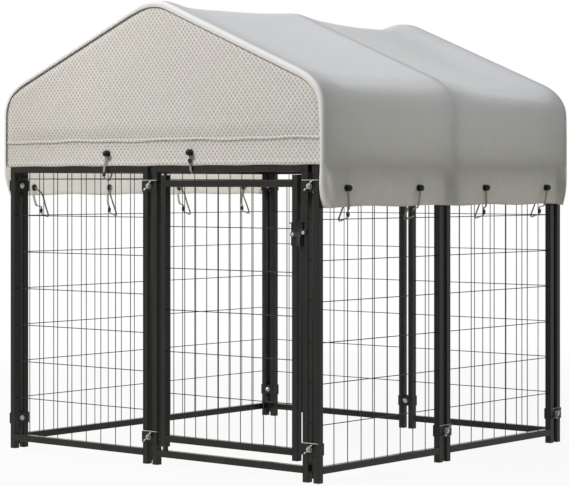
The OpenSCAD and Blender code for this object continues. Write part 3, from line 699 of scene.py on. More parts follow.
@dataclass(frozen=True)
class HoopLine:
    """The line of the cover over a roof hoop, from the ridge down to the hem, as the part's source has it."""

    half: float = 0.600
    panel_top: float = 0.868
    eave_rise: float = 0.228
    ridge_rise: float = 0.480
    eave_bend: float = 0.104
    ridge_bend: float = 0.140
    hem: float = 0.752
    flare: float = 0.020
    cloth: float = 0.0104
    rafter_sag: float = 0.5
    eave_fade: Span = (0.22, 0.92)
    skirt_sag: float = 0.3
    skirt_still: float = 0.02

    @property
    def slope(self) -> float:
        """The rafters' angle, in radians."""
        return math.atan((self.ridge_rise - self.eave_rise) / self.half)

    @property
    def bend_z(self) -> float:
        """Height at which the legs start to bend."""
        turn = (math.pi / 2 - self.slope) / 2
        return self.panel_top + self.eave_rise - self.eave_bend * math.tan(turn)

    @property
    def ridge_centre(self) -> float:
        """Height of the centre of the ridge bend."""
        return self.panel_top + self.ridge_rise - self.ridge_bend / math.cos(self.slope)

    def corners(self) -> tuple[Vector, Vector]:
        """Find the ends of the right rafter.

        Returns:
            The upper and the lower end, as x and z.
        """
        sine, cosine = math.sin(self.slope), math.cos(self.slope)
        top = Vector((self.ridge_bend * sine, self.ridge_centre + self.ridge_bend * cosine))
        foot = Vector((self.half - self.eave_bend * (1 - sine), self.bend_z + self.eave_bend * cosine))
        return top, foot

    def lengths(self) -> tuple[float, float, float, float]:
        """Measure the cloth from the ridge down.

        Returns:
            Its lengths over half the ridge bend, the rafter, the eave and down the skirt.
        """
        top, foot = self.corners()
        return (
            (self.ridge_bend + self.cloth) * self.slope,
            (foot - top).length,
            (self.eave_bend + self.cloth + self.flare / 2) * (math.pi / 2 - self.slope),
            self.bend_z - self.hem,
        )

    @property
    def run(self) -> float:
        """Length from the ridge to the hem."""
        return sum(self.lengths())

    def at(self, run: float) -> tuple[Vector, Vector, float]:
        """Find a point on the right half of the line.

        Args:
            run: Distance from the ridge.

        Returns:
            The point and the outward normal, as x and z, and the share of the sag that the cloth has there.
        """
        ridge, rafter, eave, _ = self.lengths()
        top, foot = self.corners()
        if run <= ridge:
            turn = math.pi / 2 - self.slope * run / ridge
            normal = Vector((math.cos(turn), math.sin(turn)))
            return Vector((0.0, self.ridge_centre)) + self.ridge_bend * normal, normal, 1.0
        run -= ridge
        if run <= rafter:
            share = 1.0 + self.rafter_sag * math.sin(math.pi * run / rafter)
            return top.lerp(foot, run / rafter), Vector((math.sin(self.slope), math.cos(self.slope))), share
        run -= rafter
        if run <= eave:
            turn = (math.pi / 2 - self.slope) * (1 - run / eave)
            normal = Vector((math.cos(turn), math.sin(turn)))
            centre = Vector((self.half - self.eave_bend, self.bend_z))
            swing = self.flare * (1.0 - math.cos(math.pi * run / eave)) / 2
            start, end = self.eave_fade
            share = 1.0 - (1.0 - self.skirt_sag) * ease(run, start * eave, end * eave)
            return centre + (self.eave_bend + swing) * normal, normal, share
        z = self.bend_z - (run - eave)
        share = self.skirt_sag * ease(z, self.panel_top - self.skirt_still, self.bend_z)
        return Vector((self.half + self.flare, z)), Vector((1.0, 0.0)), share

    def both(self, run: float) -> tuple[Vector, Vector, float]:
        """Find a point on either half of the line.

        Args:
            run: Distance from the ridge, negative on the left.

        Returns:
            The same as at.
        """
        point, normal, share = self.at(abs(run))
        if run < 0:
            point.x, normal.x = -point.x, -normal.x
        return point, normal, share


@dataclass
class RoofSheet:
    """The sheet that lies on the hoops, hangs down both sides and turns over at its front and rear edges."""

    line: HoopLine
    thick: float = 0.0012
    front: float = 0.6195
    turned: float = 0.016
    sags: Span = (0.014, 0.026)
    crests: tuple[float, float, float] = (0.064, 0.135, 0.064)
    sharp: tuple[float, float, float] = (1.8, 1.2, 1.8)
    left_up: float = 0.028
    contact: float = 0.0104
    tie_pitch: float = 0.335
    tie_shift: float = -0.012
    billow: float = 0.006
    billow_tall: float = 0.14
    wrinkle: float = 0.0012
    wrinkle_sag: float = 0.008
    lip_deep: float = 0.020
    lip_less: float = 0.010
    lip_tall: Span = (0.2, 0.36)
    left_slim: float = 0.36
    left_run: float = 0.12
    flap_more: float = 0.013
    flap_tall: float = 0.11
    roll_share: float = 0.55
    lean: float = 0.12
    cut_back: float = 0.026
    cut_tall: float = 0.080
    cut_curve: float = 1.7
    cut_out: Span = (0.7, 0.97)
    hem_tall: float = 0.1
    hem_wave: float = 0.0016
    hem_turns: float = 21.0
    corner_drop: float = 0.003
    corner_wide: float = 0.05
    core: float = 0.9
    curl: float = 0.955
    across: int = 220
    along: int = 190

    def sink(self, y: float) -> float:
        """Find how far the ridge of the sheet sags.

        Args:
            y: Place along the kennel.

        Returns:
            The sag, which is nothing on the hoops.
        """
        half = self.line.half
        dips = [
            1.0 - math.exp(-((max(0.0, abs(y - hoop) - self.contact) / crest) ** power))
            for hoop, crest, power in zip((-half, 0.0, half), self.crests, self.sharp)
        ]
        return math.prod(dips) * self.sags[0 if y < 0 else 1] if abs(y) < half else 0.0

    def above_hem(self, run: float) -> float:
        """Return the length of cloth below a point, down to the hem, which hangs higher on the left."""
        return self.line.run - abs(run) - (self.left_up if run < 0 else 0.0)

    def lip(self, run: float) -> float:
        """Find the depth of the turned edge, which is slimmer down the skirts and wider at their corners.

        Args:
            run: Distance from the ridge, negative on the left.

        Returns:
            The depth.
        """
        height = self.above_hem(run)
        low, high = self.lip_tall
        slim = 1.0 - self.left_slim * ease(-run, 0.0, self.left_run) * ease(height, low, high)
        plain = self.lip_deep - self.lip_less * ease(high - height, 0.0, high - low)
        return slim * plain + self.flap_more * ease(self.flap_tall - height, 0.0, self.flap_tall)

    def tuck(self, run: float) -> float:
        """Return how far the flap's edge is cut back towards its lower corner."""
        return self.cut_back * max(0.0, 1.0 - self.above_hem(run) / self.cut_tall) ** self.cut_curve

    def hang(self, run: float, y: float) -> float:
        """Find how far the cloth stands off its plain form, along the normal.

        Args:
            run: Distance from the ridge, negative on the left.
            y: Place along the kennel.

        Returns:
            The offset, in metres.
        """
        low = ease(self.billow_tall - self.above_hem(run), 0.0, self.billow_tall)
        phase = (y - self.tie_shift) / self.tie_pitch + 0.5
        between = 0.5 - 0.5 * math.cos(2 * math.pi * phase)
        broad = noise.noise(Vector((run * 4.0, y * 7.0, 2.3)))
        fine = noise.noise(Vector((run * 9.0, y * 13.0, 7.1)))
        free = min(1.0, self.sink(y) / self.wrinkle_sag) * (1.0 - low)
        return self.billow * low * low * between + self.wrinkle * (broad + 0.5 * fine) * free

    def spot(self, a: float, b: float) -> tuple[Vector, tuple[float, float]]:
        """Place one point of the cut on the kennel.

        Args:
            a: Place across the cut, from -1 at the left hem to 1 at the right hem.
            b: Place along the cut, from -1 at the front to 1 at the rear.

        Returns:
            The point, and its place on the flat cut.
        """
        run, out = a * (self.line.run - (self.left_up if a < 0 else 0.0)), abs(b)
        lip = self.lip(run)
        roll = self.roll_share * lip
        straight = min(1.0, out / self.core) * (self.front - roll)
        turn = min(1.0, max(0.0, (out - self.core) / (self.curl - self.core))) * math.pi / 2
        after = max(0.0, (out - self.curl) / (1.0 - self.curl)) * (lip - roll)
        y = math.copysign(straight + roll * math.sin(turn) - self.lean * after, b)
        v = math.copysign(straight + roll * turn + after, b)
        y -= math.copysign(self.tuck(run) * ease(out, *self.cut_out), b)
        point, normal, share = self.line.both(run)
        off = (
            self.line.cloth - share * self.sink(y) + self.hang(run, y)
            - roll * (1.0 - math.cos(turn)) - after
        )
        low = ease(self.hem_tall - self.above_hem(run), 0.0, self.hem_tall)
        corner = self.corner_drop * math.exp(-(((abs(y) - self.front) / self.corner_wide) ** 2))
        drop = low * (corner + self.hem_wave * math.sin(y * self.hem_turns + a))
        spot = point + normal * off
        return Vector((spot.x, y, spot.y - drop)), (a * self.line.run, v)

    def build(self) -> bpy.types.Object:
        """Build and dress the sheet.

        Returns:
            The sheet.
        """
        work = bmesh.new()
        uv = work.loops.layers.uv.new("cut")
        bmesh.ops.create_grid(work, x_segments=self.across, y_segments=self.along, size=1.0)
        places = {}
        for vert in work.verts:
            vert.co, places[vert] = self.spot(vert.co.x, vert.co.y)
        for face in work.faces:
            for loop in face.loops:
                loop[uv].uv = places[loop.vert]
        area = sum(face.calc_area() for face in work.faces)
        mesh = to_mesh("roof_sheet", work)
        sheet = piece("roof_sheet", mesh, [Finishes.ROOF, Finishes.LINING])
        thicken(sheet, self.thick).material_offset = 1
        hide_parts("cover_roof")
        2 * self.line.run
        return sheet


@dataclass(frozen=True)
class SewnBand:
    """A band that is sewn across a gable end, by its name, place and form."""

    kind: str
    z: float
    tall: float
    deep: float
    wander: float


@dataclass
class GableEnd:
    """A lattice cloth end with a stitched fold and a hem, sewn in under the roof sheet's turned edge."""

    line: HoopLine
    rear: bool = False
    plane: float = 0.6122
    edge: float = 0.0070
    hem: float = 0.867
    hem_wave: float = 0.0012
    hem_turns: float = 34.0
    hem_still: Span = (0.05, 0.12)
    bands: tuple[SewnBand, ...] = (
        SewnBand("fold", z=0.941, tall=0.009, deep=0.0028, wander=0.0014),
        SewnBand("hem", z=0.875, tall=0.014, deep=0.0012, wander=0.0004),
    )
    band_in: float = 0.006
    band_off: float = 0.0001
    band_cells: tuple[int, int] = (170, 6)
    pucker: float = 0.2
    puckers: float = 170.0
    puff: float = 0.0042
    puff_in: Span = (-0.002, 0.026)
    slack: float = 0.003
    slack_in: Span = (0.015, 0.15)
    ripple: float = 0.002
    thick: float = 0.0012
    across: int = 150
    up: int = 60

    @property
    def name(self) -> str:
        """The CAD node that this end stands for."""
        return "gable_rear" if self.rear else "gable_front"

    def facing(self) -> Matrix:
        """Return the turn from the front to this end."""
        return Matrix.Rotation(math.pi if self.rear else 0.0, 4, "Z")

    def top(self, a: float) -> Vector:
        """Return a point of the upper outline, as x and z, for a from -1 to 1."""
        point, normal, _ = self.line.both(a * sum(self.line.lengths()[:3]))
        return point + normal * self.edge

    def rim(self, x: float) -> float:
        """Return the height of the upper outline at x, on the straight slopes."""
        return self.line.panel_top + self.line.ridge_rise - abs(x) * math.tan(self.line.slope)

    def swell(self, x: float, z: float) -> float:
        """Find how far the cloth stands forward of its plane.

        Args:
            x: Place across the end.
            z: Height.

        Returns:
            The distance, which is nothing along the outline and the hem.
        """
        broad = noise.noise(Vector((x * 3.1, z * 4.3, 5.7)))
        wave = broad + 0.5 * noise.noise(Vector((x * 7.0, z * 6.0, 1.9)))
        down = (self.rim(x) - z) * math.cos(self.line.slope)
        inside = min(down, self.line.half + self.line.flare - abs(x))
        free = ease(z - self.hem, *self.hem_still)
        loose = (self.slack + self.ripple * wave) * ease(inside, *self.slack_in)
        return free * (self.puff * ease(inside, *self.puff_in) + loose)

    def turn_out(self, work: bmesh.types.BMesh) -> None:
        """Turn a bmesh that is drawn at the front to this end, with its faces outwards.

        Args:
            work: The bmesh.
        """
        bmesh.ops.transform(work, matrix=self.facing(), verts=work.verts)
        bmesh.ops.recalc_face_normals(work, faces=work.faces)
        outward = 1.0 if self.rear else -1.0
        if sum(face.normal.y for face in work.faces) * outward < 0:
            bmesh.ops.reverse_faces(work, faces=work.faces)

    def build(self) -> bpy.types.Object:
        """Build and dress the end with its fold and hem.

        Returns:
            The cloth.
        """
        work = bmesh.new()
        bmesh.ops.create_grid(work, x_segments=self.across, y_segments=self.up, size=1.0)
        for vert in work.verts:
            head = self.top(vert.co.x)
            share = vert.co.y * 0.5 + 0.5
            low = self.hem + self.hem_wave * math.sin(head.x * self.hem_turns)
            z = low + (head.y - low) * share
            vert.co = Vector((head.x, -self.plane - self.swell(head.x, z), z))
        self.turn_out(work)
        area = sum(face.calc_area() for face in work.faces)
        cloth = piece(f"{self.name}_cloth", to_mesh(self.name, work), [Finishes.GABLE])
        thicken(cloth, self.thick)
        trims = [self.sew(band) for band in self.bands]
        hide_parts(self.name)
        2 * self.top(1.0).x
        self.top(0.0).y - self.hem
        return cloth

    def sew(self, band: SewnBand) -> bpy.types.Object:
        """Make a puckered band across the cloth.

        Args:
            band: What the band is, where it runs and its form.

        Returns:
            The band's piece.
        """
        half = self.top(1.0).x - self.band_in
        columns, rows = self.band_cells
        work = bmesh.new()
        bmesh.ops.create_grid(work, x_segments=columns, y_segments=rows, size=1.0)
        for vert in work.verts:
            x, across = vert.co.x * half, vert.co.y
            crown = math.sqrt(max(0.0, 1.0 - across**4))
            uneven = noise.noise(Vector((x * 14.0, band.z, 0.0)))
            pucker = 1.0 + self.pucker * math.sin(x * self.puckers) + self.pucker * uneven
            sway = math.sin(x * 15.0) + 0.6 * math.sin(x * 37.0 + 1.0)
            z = band.z + band.wander * sway + across * band.tall / 2
            lift = 0.8 * band.deep * crown * pucker
            vert.co = Vector((x, -self.plane - self.swell(x, z) - self.band_off - lift, z))
        self.turn_out(work)
        name = f"{self.name}_{band.kind}"
        return piece(name, to_mesh(name, work), [Finishes.GABLE])


@dataclass
class SeamCord:
    """The binding cord in the seam between a gable end and the roof sheet's turned edge, coloured dark as
    painted shade for the shadow line in that seam.
    """

    roof: RoofSheet
    gable: GableEnd
    radius: float = 0.0015
    below: float = 0.0012
    eave_from: float = 0.4
    eave_out: float = 0.55
    steps: int = 110

    def build(self) -> bpy.types.Object:
        """Build and dress the binding.

        Returns:
            The binding.
        """
        line = self.roof.line
        ridge, rafter, eave, _ = line.lengths()
        reach = ridge + rafter + eave + line.bend_z - self.gable.hem
        points = []
        for k in range(-self.steps, self.steps + 1):
            run = reach * k / self.steps
            point, normal, _ = line.both(run)
            under = ease(abs(run), ridge + rafter + self.eave_from * eave, ridge + rafter + eave)
            sunk = (self.roof.lip(run) + self.below) * (1.0 - self.eave_out * under)
            spot = point + normal * (line.cloth - sunk)
            depth = self.gable.plane + self.gable.swell(spot.x, spot.y) + 0.5 * self.radius
            points.append(self.gable.facing() @ Vector((spot.x, -depth, spot.y)))
        name = f"{self.gable.name}_binding"
        return tube_curve(name, points, self.radius, Finishes.BINDING, "gable_piping")


@dataclass(frozen=True)
class TieRoute:
    """The way of one tie, drawn at the front, where n is out from the middle, t along the side and z up.

    The tie leaves its grommet, passes the hem and its sleeve, goes round a wire or rail, and comes back.
    """

    name: str
    turn: Matrix
    grommet: Vector
    hem: Span
    sleeve_n: float
    round_n: float
    round_t: float
    round_z: float
    radius: float
    meets: float
    back: tuple[Span, ...]

    def placed(self, spot: Vector) -> Vector:
        """Return a point that is given as n, t and z, in its place on the tie's side."""
        return self.turn @ Vector((spot.y, -spot.x, spot.z))


@dataclass
class Ties:
    """Doubled elastic cords from the grommets round the mesh wires, with their knots and stop balls."""

    line: HoopLine
    cord: float = 0.0015
    strand: float = 0.00165
    steps: int = 6
    cloth: float = 0.0107
    pitch: float = 0.061
    panel_w: float = 0.562
    post_pitch: float = 0.038
    row_z: float = 0.7172
    top_row_z: float = 0.8294
    wire_n: float = 0.598895
    turn: float = 0.0053
    rail_turn: float = 0.0145
    wire_meets: float = -50.0
    rail_meets: float = 15.0
    round_steps: int = 6
    side_pitch: float = 0.335
    side_shift: float = -0.012
    side_up: float = 0.051
    side_hem: Span = (0.0035, -0.004)
    side_sleeve: float = 0.026
    side_back: Span = (0.007, 0.03)
    side_rise: float = 0.02
    end_pitch: float = 0.331
    end_shift: float = -0.021
    end_n: float = 0.6125
    end_z: float = 0.904
    end_hem: Span = (0.005, 0.882)
    end_sleeve: float = 0.006
    rail_hem: float = -0.009
    rail_drop: float = 0.010
    rail_over: float = 0.004
    rail_under: float = 0.024
    sleeve_h: float = 0.012
    sleeve_drop: float = 0.008
    sleeve_foot: float = 0.007
    hole_in: float = 0.002
    hole_out: float = 0.0035
    hang_out: float = 0.0055
    hang_drop: float = 0.006
    spread: float = 1.5
    knot_in: float = 0.0089
    knot_drop: float = 0.003
    knot_r: float = 0.005
    knot_rib: float = 0.14
    knot_twist: float = 420.0
    knot_shrink: float = 0.1
    knot_flat: float = 0.85
    ball_r: float = 0.0095
    ball_out: float = 0.0098
    ball_mouth: float = 0.28
    ball_steps: int = 22
    mouth_share: float = 0.7
    mouth_deep: Span = (0.0012, 0.004)
    parting_deep: float = 0.035
    parting_wide: float = 0.09

    def gap(self, t: float) -> float:
        """Find the mesh gap that is nearest to a place along a side.

        Args:
            t: The place.

        Returns:
            The middle of the gap.
        """
        start = -self.line.half + self.panel_w / 2
        if t >= -self.post_pitch / 2:
            start += self.panel_w + self.post_pitch
        return start + round((t - start) / self.pitch) * self.pitch

    def side_ties(self) -> Iterator[TieRoute]:
        """Lay out the ties of the skirts, which go round the second row of wires.

        Returns:
            The routes, on the right and then on the left.
        """
        line = self.line
        n, z = line.half + self.cloth + line.flare, line.hem + self.side_up
        inner = (line.half + self.side_back[0], self.row_z + self.side_back[1])
        for side, label in ((1, "right"), (3, "left")):
            for k in range(4):
                t = (k - 1.5) * self.side_pitch + self.side_shift
                yield TieRoute(
                    name=f"tie_{label}_{k + 1}",
                    turn=Matrix.Rotation(math.pi / 2 * side, 3, "Z"),
                    grommet=Vector((n, t, z)),
                    hem=(n + self.side_hem[0], line.hem + self.side_hem[1]),
                    sleeve_n=line.half + self.side_sleeve,
                    round_n=self.wire_n,
                    round_t=self.gap(t),
                    round_z=self.row_z,
                    radius=self.turn,
                    meets=self.wire_meets,
                    back=(inner, (n - self.knot_in, z - self.side_rise)),
                )

    def end_ties(self) -> Iterator[TieRoute]:
        """Lay out the ties of the gable ends, of which the one over the gate goes round the rail.

        Returns:
            The routes, at the front and then at the rear.
        """
        line, n, z = self.line, self.end_n, self.end_z
        behind = line.half - self.rail_turn
        over, under = (behind, line.panel_top + self.rail_over), (behind, line.panel_top - self.rail_under)
        for side, label in ((0, "front"), (2, "rear")):
            for k in range(2):
                t = (k - 0.5) * self.end_pitch + self.end_shift
                on_rail = side == 0 and t > 0
                yield TieRoute(
                    name=f"tie_{label}_{k + 1}",
                    turn=Matrix.Rotation(math.pi / 2 * side, 3, "Z"),
                    grommet=Vector((n, t, z)),
                    hem=(n + self.end_hem[0], z + self.rail_hem if on_rail else self.end_hem[1]),
                    sleeve_n=n + self.end_sleeve,
                    round_n=line.half if on_rail else self.wire_n,
                    round_t=t if on_rail else self.gap(t),
                    round_z=line.panel_top - self.rail_drop if on_rail else self.top_row_z,
                    radius=self.rail_turn if on_rail else self.turn,
                    meets=self.rail_meets if on_rail else self.wire_meets,
                    back=(over,) if on_rail else (under, over),
                )

    def way(self, route: TieRoute, s: float) -> list[Vector]:
        """Lay out one strand's corner points.

        Args:
            route: The tie's route.
            s: The strand's side, -1 or 1.

        Returns:
            The points from the knot out, down and round, and back to the knot, as n, t and z.
        """
        n, t, z = route.grommet
        a, t_w, r = s * self.strand, route.round_t, route.radius
        sleeve_z = route.round_z + r + self.sleeve_drop
        points = [
            (n - self.knot_in, t + a, z),
            (n - self.hole_in, t + a, z),
            (n + self.hole_out, t + a, z),
            (n + self.hang_out, t + self.spread * a, z - self.hang_drop),
            (route.hem[0], (t + t_w) / 2 + self.spread * a, route.hem[1]),
            (route.sleeve_n, t_w + a, sleeve_z + self.sleeve_h),
            (route.sleeve_n, t_w + a, sleeve_z - self.sleeve_foot),
        ]
        for k in range(self.round_steps + 1):
            angle = math.radians(route.meets - (180.0 + route.meets) * k / self.round_steps)
            points.append((route.round_n + r * math.cos(angle), t_w + a, route.round_z + r * math.sin(angle)))
        points += [(back_n, t_w + a, back_z) for back_n, back_z in route.back]
        points.append((n - self.knot_in, t + a, z - self.knot_drop))
        return [Vector(point) for point in points]

    def lay_strand(self, name: str, line: Sequence[Vector]) -> bpy.types.Object:
        """Args:
            name: The strand's name.
            line: Its centre line.

        Returns:
            The strand.
        """
        strand = tube_curve(name, line, self.cord, Finishes.CORD, "tie_cords")
        length = sum((q - p).length for p, q in zip(line, line[1:]))
        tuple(line[0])
        return strand

    def build(self) -> list[bpy.types.Object]:
        """Build and dress the ties.

        Returns:
            The strands, the knots and the balls.
        """
        made = []
        knots, balls = bmesh.new(), bmesh.new()
        for route in (*self.side_ties(), *self.end_ties()):
            for s, label in ((-1.0, "a"), (1.0, "b")):
                line = [route.placed(point) for point in through(self.way(route, s), self.steps)]
                made.append(self.lay_strand(f"{route.name}{label}", line))
            n, t, z = route.grommet
            self.tie_knot(knots, route.placed(Vector((n - self.knot_in, t, z))))
            self.stop_ball(balls, route.placed(Vector((n + self.ball_out, t, z))))
        lump = piece("tie_knots", to_mesh("tie_knots", knots), [Finishes.CORD])
        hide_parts("tie_cords")
        stops = piece("tie_balls", to_mesh("tie_balls", balls), [Finishes.BALL])
        return [*made, lump, stops]

    def stop_ball(self, work: bmesh.types.BMesh, heart: Vector) -> None:
        """Add one moulded ball, with its parting line and the mouth that the cord goes into.

        Args:
            work: The bmesh that takes the ball.
            heart: The ball's middle.
        """
        profile = []
        for k in range(self.ball_steps + 1):
            angle = math.pi / 2 - (math.pi - self.ball_mouth) * k / self.ball_steps
            r = self.ball_r * (1.0 - self.parting_deep * math.exp(-((angle / self.parting_wide) ** 2)))
            profile.append(Vector((r * math.cos(angle), 0.0, r * math.sin(angle))))
        mouth = profile[-1]
        for share, deep in zip((self.mouth_share, 0.0), self.mouth_deep):
            profile.append(Vector((mouth.x * share, 0.0, mouth.z + deep)))
        verts = [work.verts.new(heart + spot) for spot in profile]
        edges = [work.edges.new(pair) for pair in zip(verts, verts[1:])]
        bmesh.ops.spin(
            work, geom=[*verts, *edges], cent=heart, axis=(0.0, 0.0, 1.0), angle=2 * math.pi, steps=24,
            use_merge=True,
        )
        near = 1.1 * self.ball_r
        shell = [vert for vert in work.verts if (vert.co - heart).length < near]
        bmesh.ops.remove_doubles(work, verts=shell, dist=1e-6)
        faces = [face for face in work.faces if (face.calc_center_median() - heart).length < near]
        bmesh.ops.recalc_face_normals(work, faces=faces)

    def tie_knot(self, work: bmesh.types.BMesh, heart: Vector) -> None:
        """Add one wound knot to a bmesh.

        Args:
            work: The bmesh that takes the knot.
            heart: The knot's middle.
        """
        ball = bmesh.ops.create_uvsphere(work, u_segments=28, v_segments=16, radius=self.knot_r)
        for vert in ball["verts"]:
            around = math.atan2(vert.co.y, vert.co.x)
            wound = abs(math.sin(2.0 * around + self.knot_twist * vert.co.z))
            lift = 1.0 + self.knot_rib * wound - self.knot_shrink
            vert.co = heart + Vector((vert.co.x * lift, vert.co.y * lift, vert.co.z * self.knot_flat))


@dataclass
class EdgeStrips:
    """Soft black strips on the posts' facing sides, which close the gaps at the corners and beside the gate
    with painted shade: dark stand-ins for the shadow in those narrow gaps.
    """

    half: float = 0.600
    tube: float = 0.020
    pitch: float = 0.038
    wide: float = 0.0156
    deep: float = 0.0065
    rounding: float = 0.3
    corner_z: tuple[Span, ...] = ((0.012, 0.075), (0.109, 0.7915), (0.826, 0.8675))
    middle_z: tuple[Span, ...] = ((0.012, 0.063), (0.097, 0.7915), (0.826, 0.8675))
    gate_z: Span = (0.190, 0.862)

    def strip(self, work: bmesh.types.BMesh, face_x: float, span: Span, turn: Matrix) -> None:
        """Add one strip, on a post's face that looks back along the side.

        Args:
            work: The bmesh that takes the strip.
            face_x: Place of the post's face along the side.
            span: Its lower and upper end.
            turn: The turn from the front to the post's side.
        """
        size = (self.deep, self.wide, span[1] - span[0])
        middle = (face_x - self.deep / 2, -self.half, (span[0] + span[1]) / 2)
        verts = bmesh.ops.create_cube(work, size=1.0)["verts"]
        bmesh.ops.scale(work, vec=size, verts=verts)
        upright = {
            edge for vert in verts for edge in vert.link_edges
            if abs(edge.verts[0].co.z - edge.verts[1].co.z) > self.wide and edge.verts[0].co.x < 0.0
        }
        rounded = bmesh.ops.bevel(
            work, geom=list(upright), affect="EDGES", offset=self.rounding * self.deep, segments=3,
            profile=0.5, material=-1,
        )
        whole = {vert for vert in verts if vert.is_valid} | set(rounded["verts"])
        bmesh.ops.transform(work, matrix=turn @ Matrix.Translation(middle), verts=list(whole))

    def build(self) -> bpy.types.Object:
        """Build and dress the strips.

        Returns:
            The strips, as one piece.
        """
        work = bmesh.new()
        for side in range(4):
            turn = Matrix.Rotation(math.pi / 2 * side, 4, "Z")
            for span in self.corner_z:
                self.strip(work, self.half - self.tube / 2, span, turn)
        front = Matrix.Identity(4)
        for span in self.middle_z:
            self.strip(work, -self.tube / 2, span, front)
        self.strip(work, self.half - self.pitch - self.tube / 2, self.gate_z, front)
        return piece("edge_strips", to_mesh("edge_strips", work), [Finishes.STRIP])


@dataclass
class ClampLips:
    """The rolled top edges of the outer clamp plates, in a pale coat that is a painted highlight for the
    light on those edges.
    """

    half: float = 0.600
    pitch: float = 0.038
    wide: float = 0.059
    flat_n: float = 0.0126
    dip_n: float = 0.0096
    dip_half: float = 0.004
    dip_run: float = 0.003
    tops: Span = (0.1085, 0.8251)
    slip: float = 0.012
    radius: float = 0.0011

    def path(self, x: float, top: float) -> list[Vector]:
        """Draw the line of one lip at the front, over the posts and down into the gap between them.

        Args:
            x: The middle of the clamp.
            top: Height of the plate's top edge.

        Returns:
            The line's points.
        """
        n, dip = self.half + self.flat_n - self.radius / 2, self.half + self.dip_n - self.radius / 2
        right = [(self.dip_half, dip), (self.dip_half + self.dip_run, n), (self.wide / 2, n)]
        line = [(-out, deep) for out, deep in reversed(right)] + right
        return [Vector((x + out, -deep, top - self.radius / 3)) for out, deep in line]

    def bead(self, work: bmesh.types.BMesh, line: Sequence[Vector], turn: Matrix) -> None:
        """Add one bead along a line.

        Args:
            work: The bmesh that takes the bead.
            line: The bead's centre line, drawn at the front.
            turn: The turn from the front to the bead's side.
        """
        start = Matrix.Translation(line[0]) @ Matrix.Rotation(math.pi / 2, 4, "Y")
        disc = bmesh.ops.create_circle(work, cap_ends=True, radius=self.radius, segments=10, matrix=start)
        ring = disc["verts"]
        whole, edges = list(ring), list({edge for vert in ring for edge in vert.link_edges})
        for here, there in zip(line, line[1:]):
            grown = bmesh.ops.extrude_edge_only(work, edges=edges)["geom"]
            ring = [part for part in grown if isinstance(part, bmesh.types.BMVert)]
            edges = [part for part in grown if isinstance(part, bmesh.types.BMEdge)]
            bmesh.ops.translate(work, vec=there - here, verts=ring)
            whole += ring
        bmesh.ops.contextual_create(work, geom=edges)
        bmesh.ops.transform(work, matrix=turn, verts=whole)

    def build(self) -> bpy.types.Object:
        """Build and dress the lips of all clamps, of which the lower one beside the gate has slipped.

        Returns:
            The lips, as one piece.
        """
        work = bmesh.new()
        for side in range(4):
            turn = Matrix.Rotation(math.pi / 2 * side, 4, "Z")
            for x in (-self.pitch / 2, self.half - self.pitch / 2):
                for top in self.tops:
                    slipped = side == 0 and x < 0 and top < self.half
                    self.bead(work, self.path(x, top - (self.slip if slipped else 0.0)), turn)
        bmesh.ops.recalc_face_normals(work, faces=work.faces)
        return piece("clamp_lips", to_mesh("clamp_lips", work), [Finishes.LIP_HIGHLIGHT])


@dataclass
class Ironwork:
    """The coated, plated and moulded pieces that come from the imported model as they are."""

    coats: tuple[tuple[Finishes, tuple[str, ...]], ...] = (
        (Finishes.TUBE, ("panel_", "hoop_", "gate_leaf")),
        (Finishes.WIRE, ("mesh_", "gate_mesh")),
        (Finishes.PLATE, ("clamp_plates", "latch_plate")),
        (Finishes.ZINC, ("clamp_bolts", "wing_nuts", "ridge_", "latch_bolt", "latch_keeper")),
        (
            Finishes.PLASTIC,
            ("foot_caps", "post_caps", "gate_caps", "hinge_bushes", "grommets", "tie_sleeves"),
        ),
        (Finishes.LEVER, ("hinge_pins", "latch_lever")),
    )

    def dress(self) -> int:
        """Put each finish on its nodes.

        Returns:
            How many nodes were dressed.
        """
        count = 0
        for name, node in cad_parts.items():
            for finish, starts in self.coats:
                if name.startswith(starts):
                    node.data.materials.clear()
                    node.data.materials.append(finish.material())
                    count += 1
        return count


# The studio


@dataclass(frozen=True)
class Lamp:
    """A soft square lamp."""

    name: str
    place: tuple[float, float, float]
    size: float
    power: float
    colour: Colour

    def hang(self, aim: Vector) -> None:
        """Add the lamp to the scene.

        Args:
            aim: The point that it looks at.
        """
        data = bpy.data.lights.new(self.name, "AREA")
        data.size, data.energy, data.color = self.size, self.power, self.colour
        made = bpy.data.objects.new(self.name, data)
        made.location = self.place
        made.rotation_euler = (aim - Vector(self.place)).to_track_quat("-Z", "Y").to_euler()
        bpy.context.scene.collection.objects.link(made)


